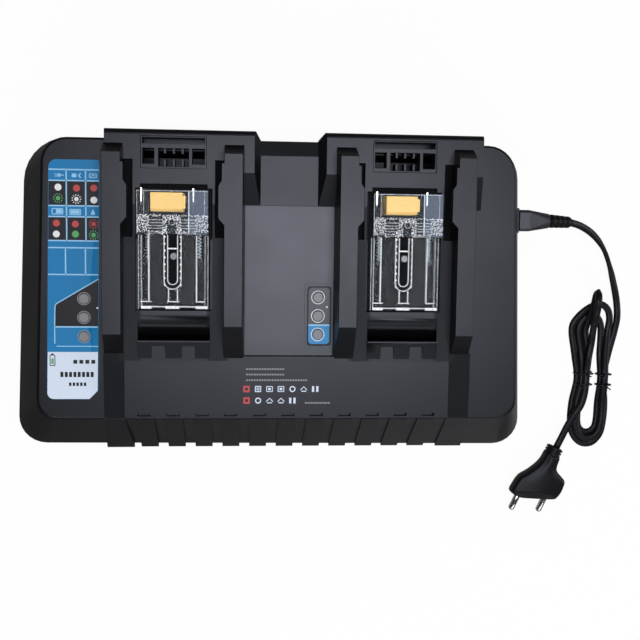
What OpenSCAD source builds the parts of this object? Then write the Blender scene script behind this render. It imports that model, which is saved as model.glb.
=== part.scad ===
// Two-bay battery charger: a sloped black case with two battery bays, each with
// a sprung clear cover over its contacts, a status label, and a flat mains cord.
// The origin is on the table under the middle of the case, +Y points to the back.

/* [Case] */
// Half of the case's width at the parting line
waist_half_w = 153.5; // [150:0.5:157]
// Front of the case at the parting line, without its ribs
waist_front = 93.3; // [91:0.1:94]
// Back of the case at the parting line
waist_back = 93.6; // [93:0.1:95.4]
// Left edge of the flat top
top_left = 136.5; // [134:0.5:140]
// Right edge of the flat top
top_right = 142.2; // [140:0.1:146]
// Front edge of the flat top
top_front = 70.5; // [69:0.1:72]
// Back edge of the flat top
top_back = 90.8; // [90:0.1:92]
// How much the sides spread towards the front, per mm of depth and width
side_flare = 0.00021; // [0:0.00001:0.0003]
// How far the front edge turns out to the right, per mm of width
front_skew = 0.006; // [0:0.001:0.008]
// Thickness of the case's walls
wall = 2.6; // [2:0.1:3]
// Foremost reach of the ribs and legs
case_reach = 95.5; // [95.5:0.1:97]
// Rearmost reach of the hoods
hood_reach = 96; // [95.5:0.1:97]

/* [Levels] */
// Underside of the lower case
z_base = 2.5; // [2:0.1:3]
// Parting line of the two halves
z_waist = 28.5; // [28:0.1:29]
// Flat top beside the bays
z_top = 64.5; // [64:0.1:65]
// Raised deck of the bays
z_deck = 69.5; // [69:0.1:70]
// Top of the battery rails
z_rail = 84; // [82:0.5:86]

/* [Battery bays] */
// Middle of the left bay
left_bay_x = -59.5; // [-60:0.1:-59]
// Middle of the right bay
right_bay_x = 73.1; // [72.6:0.1:73.6]
// Inner face of a rail, from the bay's middle
rail_in = 28.6; // [28.2:0.1:29]
// Outer face of a rail at its top
rail_out = 38.9; // [38.5:0.1:39.2]
// How far a rail's outer face leans out down to the flat top
rail_draft = 1.3; // [1:0.1:1.5]
// Inner edge of a rail's hooked lip
lip_in = 25.2; // [24.8:0.1:25.6]
// Thickness of the hooked lip
lip_t = 6; // [5:0.5:7]

/* [Clear covers] */
// Half of a cover's width
cover_half_w = 19.7; // [19.6:0.1:20.6]
// Back of a cover at rest
cover_back = 61.3; // [61:0.1:62]
// Front of a cover at rest
cover_front = -5.5; // [-6:0.1:-5]
// Top of the cover's flat front part
z_cover_flat = 74; // [73.5:0.1:74.5]
// Top of the cover's roof
z_cover_roof = 83.5; // [83.3:0.1:83.8]
// Wall of a cover
cover_wall = 1.2; // [1:0.1:1.4]
// How far a cover slides back
cover_travel = 13; // [12:0.5:13]

/* [Contacts] */
// Middle of the contact block, from the bay's middle
block_dx = -3.1; // [-3.5:0.1:-2.7]
// Width of the contact block
block_w = 18.4; // [18:0.1:18.8]
// Top of the contact block
z_block = 81; // [80:0.5:81.5]
// Distance of each blade from the block's middle
blade_dx = 14.45; // [14.3:0.05:14.6]
// Thickness of a blade
blade_t = 0.8; // [0.7:0.1:1]

/* [Indicators] */
// Radius of a status lens
lens_r = 3; // [3:0.1:3.3]
// Running gap round a lens
lens_gap = 0.1; // [0.05:0.05:0.2]

/* [Fan] */
// Side of the fan's square frame
fan_size = 50; // [48:1:50]
// Depth of the fan's frame
fan_depth = 14; // [14:0.5:15]
// Number of fan blades
fan_blades = 7; // [5:1:9]

/* [Fasteners and feet] */
// Radius of a case screw's shank
screw_r = 1.6; // [1.5:0.1:1.8]
// Radius of a rubber foot
foot_r = 8; // [7:0.5:9]

/* [Cord] */
// Width of the flat mains cord
cord_d = 4.6; // [4.4:0.1:4.8]
// Sides of the cord's tube
cord_sides = 10; // [8:1:12]

/* [Hidden] */
$fn = 48;

eps = 0.01;
// A length that always cuts right through
far = 400;

// Colours
black = [0.10, 0.105, 0.12];
grey_black = [0.17, 0.18, 0.20];
cord_black = [0.07, 0.07, 0.08];
label_blue = [0.18, 0.45, 0.65];
steel = [0.75, 0.75, 0.77];
board_green = [0.10, 0.35, 0.18];

// Corner radii in the order front left, front right, back right, back left
waist_corner = [17, 17, 20, 26];
top_corner = [11.5, 11.5, 17, 14];
corner_steps = 7;
z_ceiling = z_top - 3;
wall_slant = wall + 0.4;

// Front ribs and the vents above them
rib_count = 11;
rib_pitch = 16.6;
rib_mid_x = 6.6;
rib_w = 10.5;
vent_w = 7.8;

// Bumper legs, seen from the front: outer and inner edge at the parting line, top and deck
left_leg = [[-102.7, -85.9], [-99.8, -88.0], [-99.6, -87.2]];
right_leg = [[102.6, 119.1], [101.8, 115.0], [101.0, 114.0]];

// Hoods: left and right edge at deck level and the foot of the inner flank
left_hood = [-98.6, -13.9, -98.9, -10.2];
right_hood = [27.5, 119.0, 23.0, 119.3];
hood_flat_back = 93;
hood_flat_front = 72.2;
wing_foot = 53;

// Bay details along Y
rail_back_top = 82;
rail_back_foot = 87.8;
rail_front = -31.6;
strip_back = -33.4;
recess_half_w = 21.8;
recess_back = 62.9;
recess_front = -7;
z_recess = z_top - 0.5;
ramp_back = -9.5;
ramp_front = -24;
ramp_half_w = 20.6;
ramp_r = ramp_back - ramp_front;
wedge_foot = -34.6;
wedge_h = 3;
grille_x = [-18.9, 18.4];
grille_y = [73.9, 92.1];
grille_depth = 11;

// Middle plate and its panel
plate_x = [-19.0, 32.8];
plate_y = [-33.2, 53.8];
plate_t = 1.6;
panel_x = [17.6, 31.6];
panel_y = [-27.3, 7.5];
panel_t = 0.4;
panel_fit = 0.1;
panel_corner = [1.6, 1.6, 1.6, 1.6];
rim_x = [16, 32.8];
rim_y = [-29.1, 9.1];
rim_h = 0.5;
middle_lens_x = 23.9;
middle_lens_y = [1.0, -9.9, -20.8];
middle_post_y = [6.5, -26.5];

// Status label on the left of the flat top
label_x = [-131.4, -102.6];
label_y = [-59.1, 78.2];
label_corner = [4, 1, 1.5, 4.5];
label_cut = 4.9;
label_flare = 0.00012;
label_t = 0.3;
left_lens_x = -111;
left_lens_y = [-0.8, -11.6, -22.7];

// Contacts
block_y = [49.6, 60];
block_tab = [[8.7, 10.1], [51.3, 58.4]];
blade_y = [53.5, 62.5];
z_contact_board = 58;
board_t = 1.6;

// Guide screw, spring pegs and springs
guide_y = 24.3;
guide_post_r = 2.1;
peg_dx = 14.7;
peg_y = 21.5;
spring_r = 1.25;
spring_hook_y = 36.9;
roof_front = 36.4;
z_spring = 70;

// Screws and feet on the underside
case_screw_at = [[-104, 70], [104, 70], [-104, -64], [104, -64], [rib_mid_x, -66], [rib_mid_x, 60]];
foot_at = [[-128, 66], [128, 66], [-128, -64], [128, -64]];
board_screw_at = [[-92, 48], [92, 48], [-92, -48], [92, -48]];
z_floor = 5;
z_board = 12;
z_on_board = z_board + board_t;
z_post = 30.5;

// Transformer on the main board
transformer_at = [40, 12];
core_h = 34;

// Fan, upright at the back
fan_mid = [rib_mid_x, 77, 31];
fan_shaft_r = 1.5;
fan_fit = 0.05;

// Mains inlet in the right wall
inlet_y = 47.8;
inlet_z = 35;

// Cord from the connector to the hank, and from the hank to the plug, as [x, y, z]
lead_route = [[184.5, 47.2, 31.5], [193, 45.2, 27], [203.5, 40, 21], [212.8, 31.8, 14.5],
    [219.4, 21.5, 9], [224.6, 8.6, 5], [228.2, -4.4, 2.9], [229.2, -15, 2.4],
    [228, -27, 2.4]];
tail_route = [[203, -76, 8.5], [199, -84, 7.4], [195, -92, 6.6], [189.4, -102.4, 6.5]];

// Sleeve where the cord leaves the connector, from end to end
relief_start = [169.8, inlet_y, inlet_z];
relief_end = lead_route[0];

// Hank of folded cord
hank_ends = [[212.5, -18, 15.5], [211.5, -88, 14.5]];
hank_z = [0.8, 10.2];
tie_y = -55.8;
tie_half_w = 15.3;

// Plug: the place and heading of its axis, and its outline from the cord end
plug_at = [188.9, -101.6, 6.5];
plug_turn = 65;
plug_outline = [[6, -5.3], [10.9, -5.5], [14.8, -6.7], [18.8, -8.6], [22.6, -10.8], [25.8, -13.4],
    [28.9, -14.7], [38.4, -15.6], [39.9, -14.7], [40.9, -10.4], [40.8, -6.7], [34.2, 10.3],
    [32.3, 14.6], [30.8, 15.7], [26.7, 16.9], [18.3, 16.1], [17.3, 14.8], [14.2, 7.4],
    [11.1, 6.2], [6, 5.7]];
plug_t = 13;
plug_inset = 2.2;
pin_dx = 8.7;
pin_r = 2;
pin_seat = 28;

// ---- Helpers ----
function lerp(a, b, t) = a + (b - a) * t;
function arc_pts(cx, cy, r, a0, a1, n) =
    [for (i = [0:n]) let (a = lerp(a0, a1, i / n)) [cx + r * cos(a), cy + r * sin(a)]];
function round_box(x0, x1, y0, y1, r) = concat(
    arc_pts(x0 + r[0], y0 + r[0], r[0], 180, 270, corner_steps),
    arc_pts(x1 - r[1], y0 + r[1], r[1], 270, 360, corner_steps),
    arc_pts(x1 - r[2], y1 - r[2], r[2], 0, 90, corner_steps),
    arc_pts(x0 + r[3], y1 - r[3], r[3], 90, 180, corner_steps));
function flared(points, flare, skew) =
    [for (p = points) [p[0] * (1 - flare * p[1]), p[1] - (p[1] < 0 ? skew * p[0] : 0)]];
function case_outline(z, inset) =
    let (t = max(0, (z - z_waist) / (z_top - z_waist)))
    flared(
        round_box(
            lerp(-waist_half_w, -top_left, t) + inset,
            lerp(waist_half_w, top_right, t) - inset,
            lerp(-waist_front, -top_front, t) + inset,
            lerp(waist_back, top_back, t) - inset,
            [for (i = [0:3]) lerp(waist_corner[i], top_corner[i], t) - inset]),
        side_flare,
        (1 - t) * front_skew);

// A closed skin through the case's outline at each [level, inset]
module case_skin(levels) {
    n = 4 * (corner_steps + 1);
    m = len(levels);
    points = [for (l = levels) for (p = case_outline(l[0], l[1])) [p[0], p[1], l[0]]];
    sides = [for (j = [0:m - 2]) for (i = [0:n - 1])
        let (a = j * n + i, b = j * n + (i + 1) % n)
        each [[a, a + n, b + n], [a, b + n, b]]];
    bottom = [for (i = [0:n - 1]) i];
    top = [for (i = [n - 1:-1:0]) (m - 1) * n + i];
    polyhedron(points = points, faces = concat([bottom], sides, [top]));
}

// A box between two corners
module span(x, y, z) {
    translate([x[0], y[0], z[0]])
        cube([x[1] - x[0], y[1] - y[0], z[1] - z[0]]);
}

// A (y, z) outline drawn out along X
module along_x(x, outline) {
    translate([x[0], 0, 0])
        rotate([90, 0, 90])
            linear_extrude(x[1] - x[0])
                polygon(outline);
}

// An (x, z) outline drawn out along Y
module along_y(y, outline) {
    translate([0, y[1], 0])
        rotate([90, 0, 0])
            linear_extrude(y[1] - y[0])
                polygon(outline);
}

module post(at, r, z) {
    translate([at[0], at[1], z[0]])
        cylinder(r = r, h = z[1] - z[0]);
}

// A round-ended slot standing along Z
module stadium(half_w, y, z) {
    span([-half_w, half_w], [y[0] + half_w, y[1] - half_w], z);
    post([0, y[0] + half_w], half_w, z);
    post([0, y[1] - half_w], half_w, z);
}

// A tube with flat ends through the points of a route
module cord_tube(route) {
    last = len(route) - 1;
    up = [0, 0, 1];
    rings = [for (i = [0:last])
        let (
            step = route[min(i + 1, last)] - route[max(i - 1, 0)],
            ahead = step / norm(step),
            side = cross(ahead, up) / norm(cross(ahead, up)),
            rise = cross(side, ahead))
        [for (k = [0:cord_sides - 1])
            let (a = 360 * k / cord_sides)
            route[i] + cord_d / 2 * (side * cos(a) + rise * sin(a))]];
    points = [for (r = rings) each r];
    sides = [for (i = [0:last - 1]) for (k = [0:cord_sides - 1])
        let (a = i * cord_sides + k, b = i * cord_sides + (k + 1) % cord_sides)
        each [[a, b, b + cord_sides], [a, b + cord_sides, a + cord_sides]]];
    first_cap = [for (k = [cord_sides - 1:-1:0]) k];
    last_cap = [for (k = [0:cord_sides - 1]) last * cord_sides + k];
    polyhedron(points = points, faces = concat([first_cap], sides, [last_cap]));
}

// ---- Case ----
function rail_foot(front) =
    [[rail_back_foot, z_ceiling - 2], [rail_back_foot, z_deck], [front, z_deck],
        [front, z_ceiling - 2]];

module rail(side, profile) {
    intersection() {
        along_x([-far, far], profile);
        along_y([-far, far], [
            [side * rail_in, z_ceiling - 2],
            [side * rail_in, z_rail],
            [side * rail_out, z_rail],
            [side * (rail_out + rail_draft), z_top],
            [side * (rail_out + rail_draft), z_ceiling - 2]]);
    }
}

// The lip that hooks over a battery's foot, open below
module rail_lip(side) {
    mirror([side < 0 ? 1 : 0, 0, 0])
        translate([0, 0, z_rail - lip_t])
            linear_extrude(lip_t)
                polygon([[rail_in + 1, 42.1], [rail_in, 42.1], [lip_in, 46], [lip_in, 64.1],
                    [rail_in - 1.5, 66.8], [rail_in - 1.5, 76.6], [rail_in + 1, 76.6]]);
}

// Both rails of a bay, above the deck; the outer one starts further forward
module battery_rails(x, outer) {
    back_end = [[rail_back_foot, z_deck], [rail_back_top, z_rail]];
    color(black)
        translate([x, 0, 0]) {
            rail(outer, concat(back_end, [[-19.4, z_rail], [rail_front, z_deck + 0.5],
                [rail_front, z_deck]]));
            rail(-outer, concat(back_end, [[-14.8, z_rail], [-34.5, z_deck]]));
            for (side = [-1, 1]) rail_lip(side);
        }
}

module battery_rails_left() {
    battery_rails(left_bay_x, -1);
}

module battery_rails_right() {
    battery_rails(right_bay_x, 1);
}

module bay_mass(outer) {
    block_half = rail_out + rail_draft;
    along_y([strip_back - 1, 80], [[-block_half, z_ceiling - 2], [-block_half, z_top],
        [-rail_out - 1, z_deck], [rail_out + 1, z_deck], [block_half, z_top],
        [block_half, z_ceiling - 2]]);
    rail(outer, rail_foot(rail_front));
    rail(-outer, rail_foot(-34.5));
    // Ramped wedge that a battery's latch rides over
    along_x([-ramp_half_w, ramp_half_w], [[wedge_foot, z_top], [wedge_foot, z_deck],
        [ramp_front - 0.8, z_deck + wedge_h], [ramp_front, z_deck + wedge_h],
        [ramp_front, z_top]]);
}

module hood(edges) {
    r = hood_reach - hood_flat_back;
    intersection() {
        // Plan with the inner rear corner cut off
        linear_extrude(far)
            polygon([[edges[2], 0], [edges[3], 0], [edges[3], top_back], [edges[1], hood_reach + 1],
                [edges[0], hood_reach + 1], [edges[2], top_back]]);
        along_x([-far, far], concat(
            [[top_front, z_waist], [wing_foot, z_ceiling - 2], [wing_foot, z_top],
                [hood_flat_front, z_deck]],
            [for (p = arc_pts(hood_flat_back, z_deck - r, r, 90, 0, 6)) p],
            [[hood_reach, z_waist]]));
        along_y([-far, far], [[edges[2], z_waist - 1], [edges[2], z_top], [edges[0], z_deck],
            [edges[1], z_deck], [edges[3], z_top], [edges[3], z_waist - 1]]);
    }
}

// A leg that runs from a rail's foot over the front edge and down the front
module bumper_leg(edges) {
    intersection() {
        along_x([-far, far], [[-case_reach, z_waist], [-top_front - 0.6, z_top],
            [-top_front, z_top + 0.3], [rail_front, z_deck + 0.5], [rail_front, z_ceiling - 2],
            [-waist_front + 2, z_waist]]);
        along_y([-far, far], [[edges[0][0], z_waist], [edges[1][0], z_top],
            [edges[2][0], z_deck + 1], [edges[2][1], z_deck + 1], [edges[1][1], z_top],
            [edges[0][1], z_waist]]);
    }
}

module front_ribs() {
    for (k = [0:rib_count - 1]) {
        x = rib_mid_x + (k - (rib_count - 1) / 2) * rib_pitch;
        along_x([x - rib_w / 2, x + rib_w / 2], [[-waist_front - 1.9, z_waist],
            [-top_front - 0.7, z_top + 0.4], [-top_front + 0.6, z_top + 1.2],
            [-top_front + 0.6, z_ceiling], [-waist_front + 2, z_waist]]);
    }
}

module upper_mass() {
    case_skin([[z_waist, 0], [z_top - 1.2, 0], [z_top - 0.35, 0.35], [z_top, 1.2]]);
    along_x([left_leg[2][1] - 0.5, right_leg[2][0] + 0.5], [[-top_front, z_ceiling - 2],
        [-top_front, z_top], [-top_front + 0.9, z_deck], [strip_back, z_deck],
        [strip_back, z_ceiling - 2]]);
    translate([left_bay_x, 0, 0]) bay_mass(-1);
    translate([right_bay_x, 0, 0]) bay_mass(1);
    hood(left_hood);
    hood(right_hood);
    bumper_leg(left_leg);
    bumper_leg(right_leg);
    front_ribs();
}

// What hangs below the ceiling: latch pockets, screw posts and board posts
module upper_inside() {
    for (x = [left_bay_x, right_bay_x]) {
        span([x - ramp_half_w - 2.5, x + ramp_half_w + 2.5], [ramp_front - 2.5, ramp_back + 2.5],
            [z_deck - ramp_r - 2.5, z_ceiling + 1]);
        post([x + block_dx - blade_dx - 1.5, 47.5], 2.2, [z_contact_board + board_t, z_ceiling + 1]);
        post([x + block_dx + blade_dx + 1.5, 47.5], 2.2, [z_contact_board + board_t, z_ceiling + 1]);
    }
    for (at = case_screw_at) post(at, 4, [z_post, z_ceiling + 1]);
    for (y = [5.5, -29]) post([left_lens_x, y], 2.2, [z_contact_board, z_ceiling + 1]);
    for (y = middle_post_y) post([middle_lens_x, y], 2.2, [z_contact_board, z_ceiling + 1]);
}

module bay_cuts() {
    // Recess for the clear cover, with a narrower notch at its back
    span([-recess_half_w, recess_half_w], [recess_front, recess_back], [z_recess, z_rail]);
    span([-19, 19], [60, 65.3], [z_recess, z_rail]);
    // Latch pocket with a rounded back
    difference() {
        span([-ramp_half_w, ramp_half_w], [ramp_front, ramp_back], [z_deck - ramp_r, z_rail]);
        translate([-far / 2, ramp_back, z_deck - ramp_r])
            rotate([0, 90, 0])
                cylinder(r = ramp_r, h = far, $fn = 96);
    }
    for (x = [[-12.6, -4.9], [4.6, 12.1]])
        span(x, [wedge_foot - 1, -27.2], [z_deck, z_rail]);
    // Grooves for the battery's feet, under the hooked lips
    for (side = [-1, 1])
        span([min(side * 23.2, side * rail_in), max(side * 23.2, side * rail_in)], [35, 79],
            [z_recess, z_rail - lip_t]);
    // Air outlet in the hood
    span(grille_x, grille_y, [z_ceiling - 10, z_rail]);
    // Contact block and blades
    span([block_dx - block_w / 2 - 0.2, block_dx + block_w / 2 + 0.2],
        [block_y[0] - 0.2, block_y[1] + 0.2], [z_ceiling - 1, z_rail]);
    for (side = [-1, 1])
        span([block_dx + side * blade_dx - blade_t / 2 - 0.2, block_dx + side * blade_dx + blade_t / 2 + 0.2],
            [blade_y[0] - 0.2, blade_y[1] + 0.2], [z_ceiling - 1, z_top]);
}

module bay_posts() {
    difference() {
        post([0, guide_y], guide_post_r, [z_recess - 1, 72]);
        post([0, guide_y], 0.95, [z_recess, 73]);
    }
    for (side = [-1, 1]) post([side * peg_dx, peg_y], 1.4, [z_recess - 1, 71.6]);
}

module upper_case() {
    color(black) {
        difference() {
            union() {
                difference() {
                    upper_mass();
                    case_skin([[z_waist - 0.1, wall_slant], [z_ceiling, wall_slant]]);
                }
                upper_inside();
            }
            translate([left_bay_x, 0, 0]) bay_cuts();
            translate([right_bay_x, 0, 0]) bay_cuts();
            // Vents above the front ribs
            for (k = [0:rib_count - 1]) {
                x = rib_mid_x + (k - (rib_count - 1) / 2) * rib_pitch;
                span([x - vent_w / 2, x + vent_w / 2], [-68.5, -66.5], [z_top + 1, z_rail]);
            }
            // Seat of the middle plate and the slope behind it
            span([plate_x[0] - 0.2, plate_x[1] + 0.2], [strip_back, plate_y[1] + 0.2],
                [z_top - plate_t, z_top + 1]);
            along_x([left_hood[3], right_hood[2]], [[82.4, z_top], [92, z_top - 1.8],
                [92, z_top + 1], [82.4, z_top + 1]]);
            // Lens holes
            for (y = left_lens_y) post([left_lens_x, y], lens_r + lens_gap, [z_ceiling - 1, z_rail]);
            for (y = middle_lens_y) post([middle_lens_x, y], lens_r + lens_gap, [z_ceiling - 1, z_rail]);
            // Pilot holes of the case screws
            for (at = case_screw_at) post(at, screw_r + 0.05, [z_post - 1, 46]);
            // Opening for the mains inlet
            span([140, 160], [inlet_y - 7.8, inlet_y + 7.8], [inlet_z - 5.4, inlet_z + 5.4]);
            // Air inlets in the back wall, behind the fan
            for (k = [-3:3])
                span([rib_mid_x + k * 5.5 - 1.5, rib_mid_x + k * 5.5 + 1.5], [85, 100], [33, 54]);
        }
        translate([left_bay_x, 0, 0]) bay_posts();
        translate([right_bay_x, 0, 0]) bay_posts();
    }
}

module lower_case() {
    color(black)
        difference() {
            union() {
                difference() {
                    case_skin([[z_base, 9], [z_base + 1, 7.2], [z_base + 3.5, 5.5],
                        [z_waist - 0.9, 0.4], [z_waist - 0.6, 1.1], [z_waist, 1.1]]);
                    case_skin([[z_floor, 9.8], [z_floor + 2.5, 8.4], [z_waist + eps, 4]]);
                }
                // Tongue inside the upper case
                difference() {
                    translate([0, 0, z_waist - 6])
                        linear_extrude(8.5)
                            polygon(case_outline(0, 4.9));
                    translate([0, 0, z_waist - 7])
                        linear_extrude(11)
                            polygon(case_outline(0, 7));
                    span([130, 160], [inlet_y - 10.5, inlet_y + 10.5], [z_waist, z_waist + 5]);
                }
                for (at = case_screw_at) post(at, 5, [z_floor - 1, z_post - 0.3]);
                for (at = board_screw_at) post(at, 3.2, [z_floor - 1, z_board]);
                // Cradle under the fan
                span([fan_mid[0] - 20, fan_mid[0] + 20], [fan_mid[1] - 9, fan_mid[1] + 6],
                    [z_floor - 1, fan_mid[2] - fan_size / 2]);
            }
            for (at = case_screw_at) {
                post(at, 4, [0, 8]);
                post(at, screw_r + 0.2, [0, 40]);
            }
            for (at = board_screw_at) post(at, 1.55, [z_floor + 0.5, z_board + 1]);
            for (at = foot_at) post(at, foot_r + 0.05, [0, z_base + 1]);
            // Air slots in the floor
            for (k = [-6:6])
                span([k * 9 - 2, k * 9 + 2], [-30, 30], [0, z_floor + 1]);
        }
}

module middle_plate() {
    color(grey_black)
        difference() {
            union() {
                span(plate_x, plate_y, [z_top - plate_t, z_top + 0.1]);
                // Raised rim round the panel
                translate([0, 0, z_top - plate_t])
                    linear_extrude(plate_t + rim_h)
                        polygon(round_box(rim_x[0], rim_x[1], rim_y[0], rim_y[1],
                            panel_corner + [1, 1, 1, 1]));
            }
            translate([0, 0, z_top - 0.4])
                linear_extrude(2)
                    polygon(round_box(panel_x[0] - panel_fit, panel_x[1] + panel_fit,
                        panel_y[0] - panel_fit, panel_y[1] + panel_fit, panel_corner));
            for (y = middle_lens_y) post([middle_lens_x, y], lens_r + lens_gap, [z_ceiling, z_rail]);
        }
}

module indicator_panel() {
    color(label_blue)
        difference() {
            translate([0, 0, z_top - 0.4])
                linear_extrude(panel_t)
                    polygon(round_box(panel_x[0], panel_x[1], panel_y[0], panel_y[1], panel_corner));
            for (y = middle_lens_y) post([middle_lens_x, y], lens_r + lens_gap, [z_ceiling, z_rail]);
        }
}

module status_label() {
    color(label_blue)
        difference() {
            translate([0, 0, z_top])
                linear_extrude(label_t)
                    polygon(flared(round_box(label_x[0], label_x[1], label_y[0], label_y[1], label_corner),
                        label_flare, 0));
            // Cut front right corner
            translate([label_x[1] * (1 - label_flare * label_y[0]), label_y[0], z_top])
                rotate([0, 0, 45])
                    cube([label_cut * sqrt(2), label_cut * sqrt(2), 3], center = true);
            for (y = left_lens_y) post([left_lens_x, y], lens_r + lens_gap, [z_ceiling, z_rail]);
        }
}

module lenses(x, rows) {
    color([0.85, 0.85, 0.82])
        for (y = rows)
            post([x, y], lens_r, [z_contact_board, z_top + 0.9]);
}

module status_lenses_left() {
    lenses(left_lens_x, left_lens_y);
}

module status_lenses_middle() {
    lenses(middle_lens_x, middle_lens_y);
}

module vent_grille(x) {
    gap = 0.15;
    zt = z_deck - 0.2;
    zb = z_deck - grille_depth;
    color(grey_black)
        translate([x, 0, 0])
            difference() {
                span([grille_x[0] + gap, grille_x[1] - gap],
                    [grille_y[0] + gap, grille_y[1] - gap], [zb, zt]);
                span([-17.7, -11.1], [76.4, 85.2], [zb - 1, zt + 1]);
                span([10.3, 17.5], [76.4, 85.2], [zb - 1, zt + 1]);
                difference() {
                    span([-8.8, 8.4], [75, 85.2], [zb - 1, zt + 1]);
                    for (k = [-1:1]) span([k * 5 - 0.8, k * 5 + 0.6], [82.2, 86], [zb - 2, zt - 0.6]);
                    for (k = [-1:1]) span([k * 5 - 0.8, k * 5 + 0.6], [74, 79], [zb - 2, zt - 0.2]);
                }
                span([-17.9, 17.4], [87.8, 91.2], [zb - 1, zt + 1]);
            }
}

module vent_grille_left() {
    vent_grille(left_bay_x);
}

module vent_grille_right() {
    vent_grille(right_bay_x);
}

module case_screws() {
    color(steel)
        for (at = case_screw_at) {
            post(at, 3.4, [5.6, 8]);
            post(at, screw_r, [7.5, 44]);
        }
}

module rubber_feet() {
    color([0.08, 0.08, 0.08])
        for (at = foot_at) post(at, foot_r, [0, z_base + 1]);
}

// ---- Bays ----
module clear_cover(x) {
    w = cover_wall;
    hw = cover_half_w;
    // Front end of the part that hangs over the deck when the cover is back
    step_y = recess_back - cover_travel - 0.6;
    z_over = z_deck + 0.5;
    color([0.9, 0.93, 0.95, 0.35])
        translate([x, 0, 0])
            difference() {
                union() {
                    // Outer form: low front part and roof over the contacts
                    difference() {
                        along_x([-hw, hw], [[cover_front, z_recess + 0.6], [cover_front, z_cover_flat],
                            [roof_front, z_cover_flat], [roof_front + 0.6, z_cover_roof],
                            [cover_back, z_cover_roof], [cover_back, z_over], [step_y, z_over],
                            [step_y, z_recess + 0.6]]);
                        along_x([-hw + w, hw - w], [[cover_front + w, z_recess],
                            [cover_front + w, z_cover_flat - w], [roof_front + w, z_cover_flat - w],
                            [roof_front + w + 0.6, z_cover_roof - w], [cover_back + 1, z_cover_roof - w],
                            [cover_back + 1, z_over - 1],
                            [step_y + 5, z_over - 1], [step_y + 5, z_recess]]);
                    }
                    // Guide slot's wall round the guide post
                    stadium(5.2, [5.7 - 2.7, 41], [z_recess + 0.6, z_cover_flat]);
                    // Spring lugs
                    for (side = [-1, 1])
                        span([side * peg_dx - 1.6, side * peg_dx + 1.6], [spring_hook_y + 0.2, 39.4],
                            [z_spring - 2, z_cover_flat - 0.5]);
                }
                stadium(2.6, [8.4 - 2.6, 38], [z_recess, z_cover_flat + 1]);
                // Mouth under the roof, through which the contacts reach a battery
                span([block_dx - blade_dx - 1.2, block_dx + blade_dx + 1.2],
                    [roof_front - 0.1, roof_front + 3],
                    [z_cover_flat - w - eps, z_cover_roof - w + eps]);
            }
}

module clear_cover_left() {
    clear_cover(left_bay_x);
}

module clear_cover_right() {
    clear_cover(right_bay_x);
}

// Springs from the pegs to the cover's lugs, as plain tubes
module cover_springs(x) {
    color(steel)
        for (side = [-1, 1])
            translate([x + side * peg_dx, spring_hook_y, z_spring])
                rotate([90, 0, 0])
                    difference() {
                        cylinder(r = spring_r, h = spring_hook_y - peg_y - 1.5);
                        translate([0, 0, -1]) cylinder(r = spring_r - 0.4, h = 30);
                    }
}

module cover_springs_left() {
    cover_springs(left_bay_x);
}

module cover_springs_right() {
    cover_springs(right_bay_x);
}

module guide_screw(x) {
    color(steel)
        translate([x, guide_y, 0])
            difference() {
                union() {
                    cylinder(r = 1.8, h = 73.2);
                    cylinder(r = 0.9, h = 73);
                }
                difference() {
                    translate([0, 0, -1]) cylinder(r = 3, h = 73);
                    translate([0, 0, z_recess + 0.5]) cylinder(r = 0.9, h = 9);
                }
                for (turn = [0, 90])
                    rotate([0, 0, turn])
                        span([-1.2, 1.2], [-0.2, 0.2], [72.6, 74]);
            }
}

module guide_screw_left() {
    guide_screw(left_bay_x);
}

module guide_screw_right() {
    guide_screw(right_bay_x);
}

module terminal_block(x) {
    color([1.0, 0.80, 0.45])
        translate([x + block_dx, 0, 0])
            difference() {
                union() {
                    along_x([-block_w / 2, block_tab[0][0]], [[block_y[0], z_contact_board + board_t],
                        [block_y[0], z_block - 1.2], [block_y[0] + 1.5, z_block], [block_y[1], z_block],
                        [block_y[1], z_contact_board + board_t]]);
                    span([block_tab[0][0] - 0.1, block_tab[0][1]], block_tab[1],
                        [z_recess + 0.5, z_block - 0.8]);
                }
                // Room for the end of the cover's guide slot when the cover is back
                span([-2.5, block_w], [block_y[0] - 1, block_y[0] + 5], [z_recess, z_cover_flat + 0.4]);
                // Contact slots in the front face
                for (k = [-2:2])
                    span([k * 3.2 - 0.5, k * 3.2 + 0.5],
                        [block_y[0] - 1, block_y[0] + 4], [75.6, z_block - 2]);
            }
}

module terminal_block_left() {
    terminal_block(left_bay_x);
}

module terminal_block_right() {
    terminal_block(right_bay_x);
}

module terminal_blades(x) {
    color(steel)
        for (side = [-1, 1])
            translate([x + block_dx + side * blade_dx, 0, 0])
                along_x([-blade_t / 2, blade_t / 2], [[blade_y[0], z_contact_board + board_t],
                    [blade_y[1], z_contact_board + board_t], [blade_y[1], 79], [blade_y[0] + 1.5, 79],
                    [blade_y[0], 77.5]]);
}

module terminal_blades_left() {
    terminal_blades(left_bay_x);
}

module terminal_blades_right() {
    terminal_blades(right_bay_x);
}

module terminal_board(x) {
    color(board_green)
        span([x + block_dx - 19, x + block_dx + 19],
            [44.5, 66], [z_contact_board, z_contact_board + board_t]);
}

module terminal_board_left() {
    terminal_board(left_bay_x);
}

module terminal_board_right() {
    terminal_board(right_bay_x);
}

// ---- Inside ----
module main_board() {
    color(board_green)
        difference() {
            span([-100, 100], [-54, 54], [z_board, z_on_board]);
            for (at = board_screw_at) post(at, 1.7, [z_board - 1, z_on_board + 1]);
        }
}

module board_screws() {
    color(steel)
        for (at = board_screw_at) {
            post(at, 2.8, [z_on_board, z_on_board + 1.8]);
            post(at, 1.5, [7, z_on_board + 0.5]);
        }
}

module indicator_board(x, y) {
    color(board_green)
        span([x - 7, x + 7], y, [z_contact_board - board_t, z_contact_board]);
}

module indicator_board_left() {
    indicator_board(left_lens_x, [-32, 8]);
}

module indicator_board_middle() {
    indicator_board(middle_lens_x, [-30, 10]);
}

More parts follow.
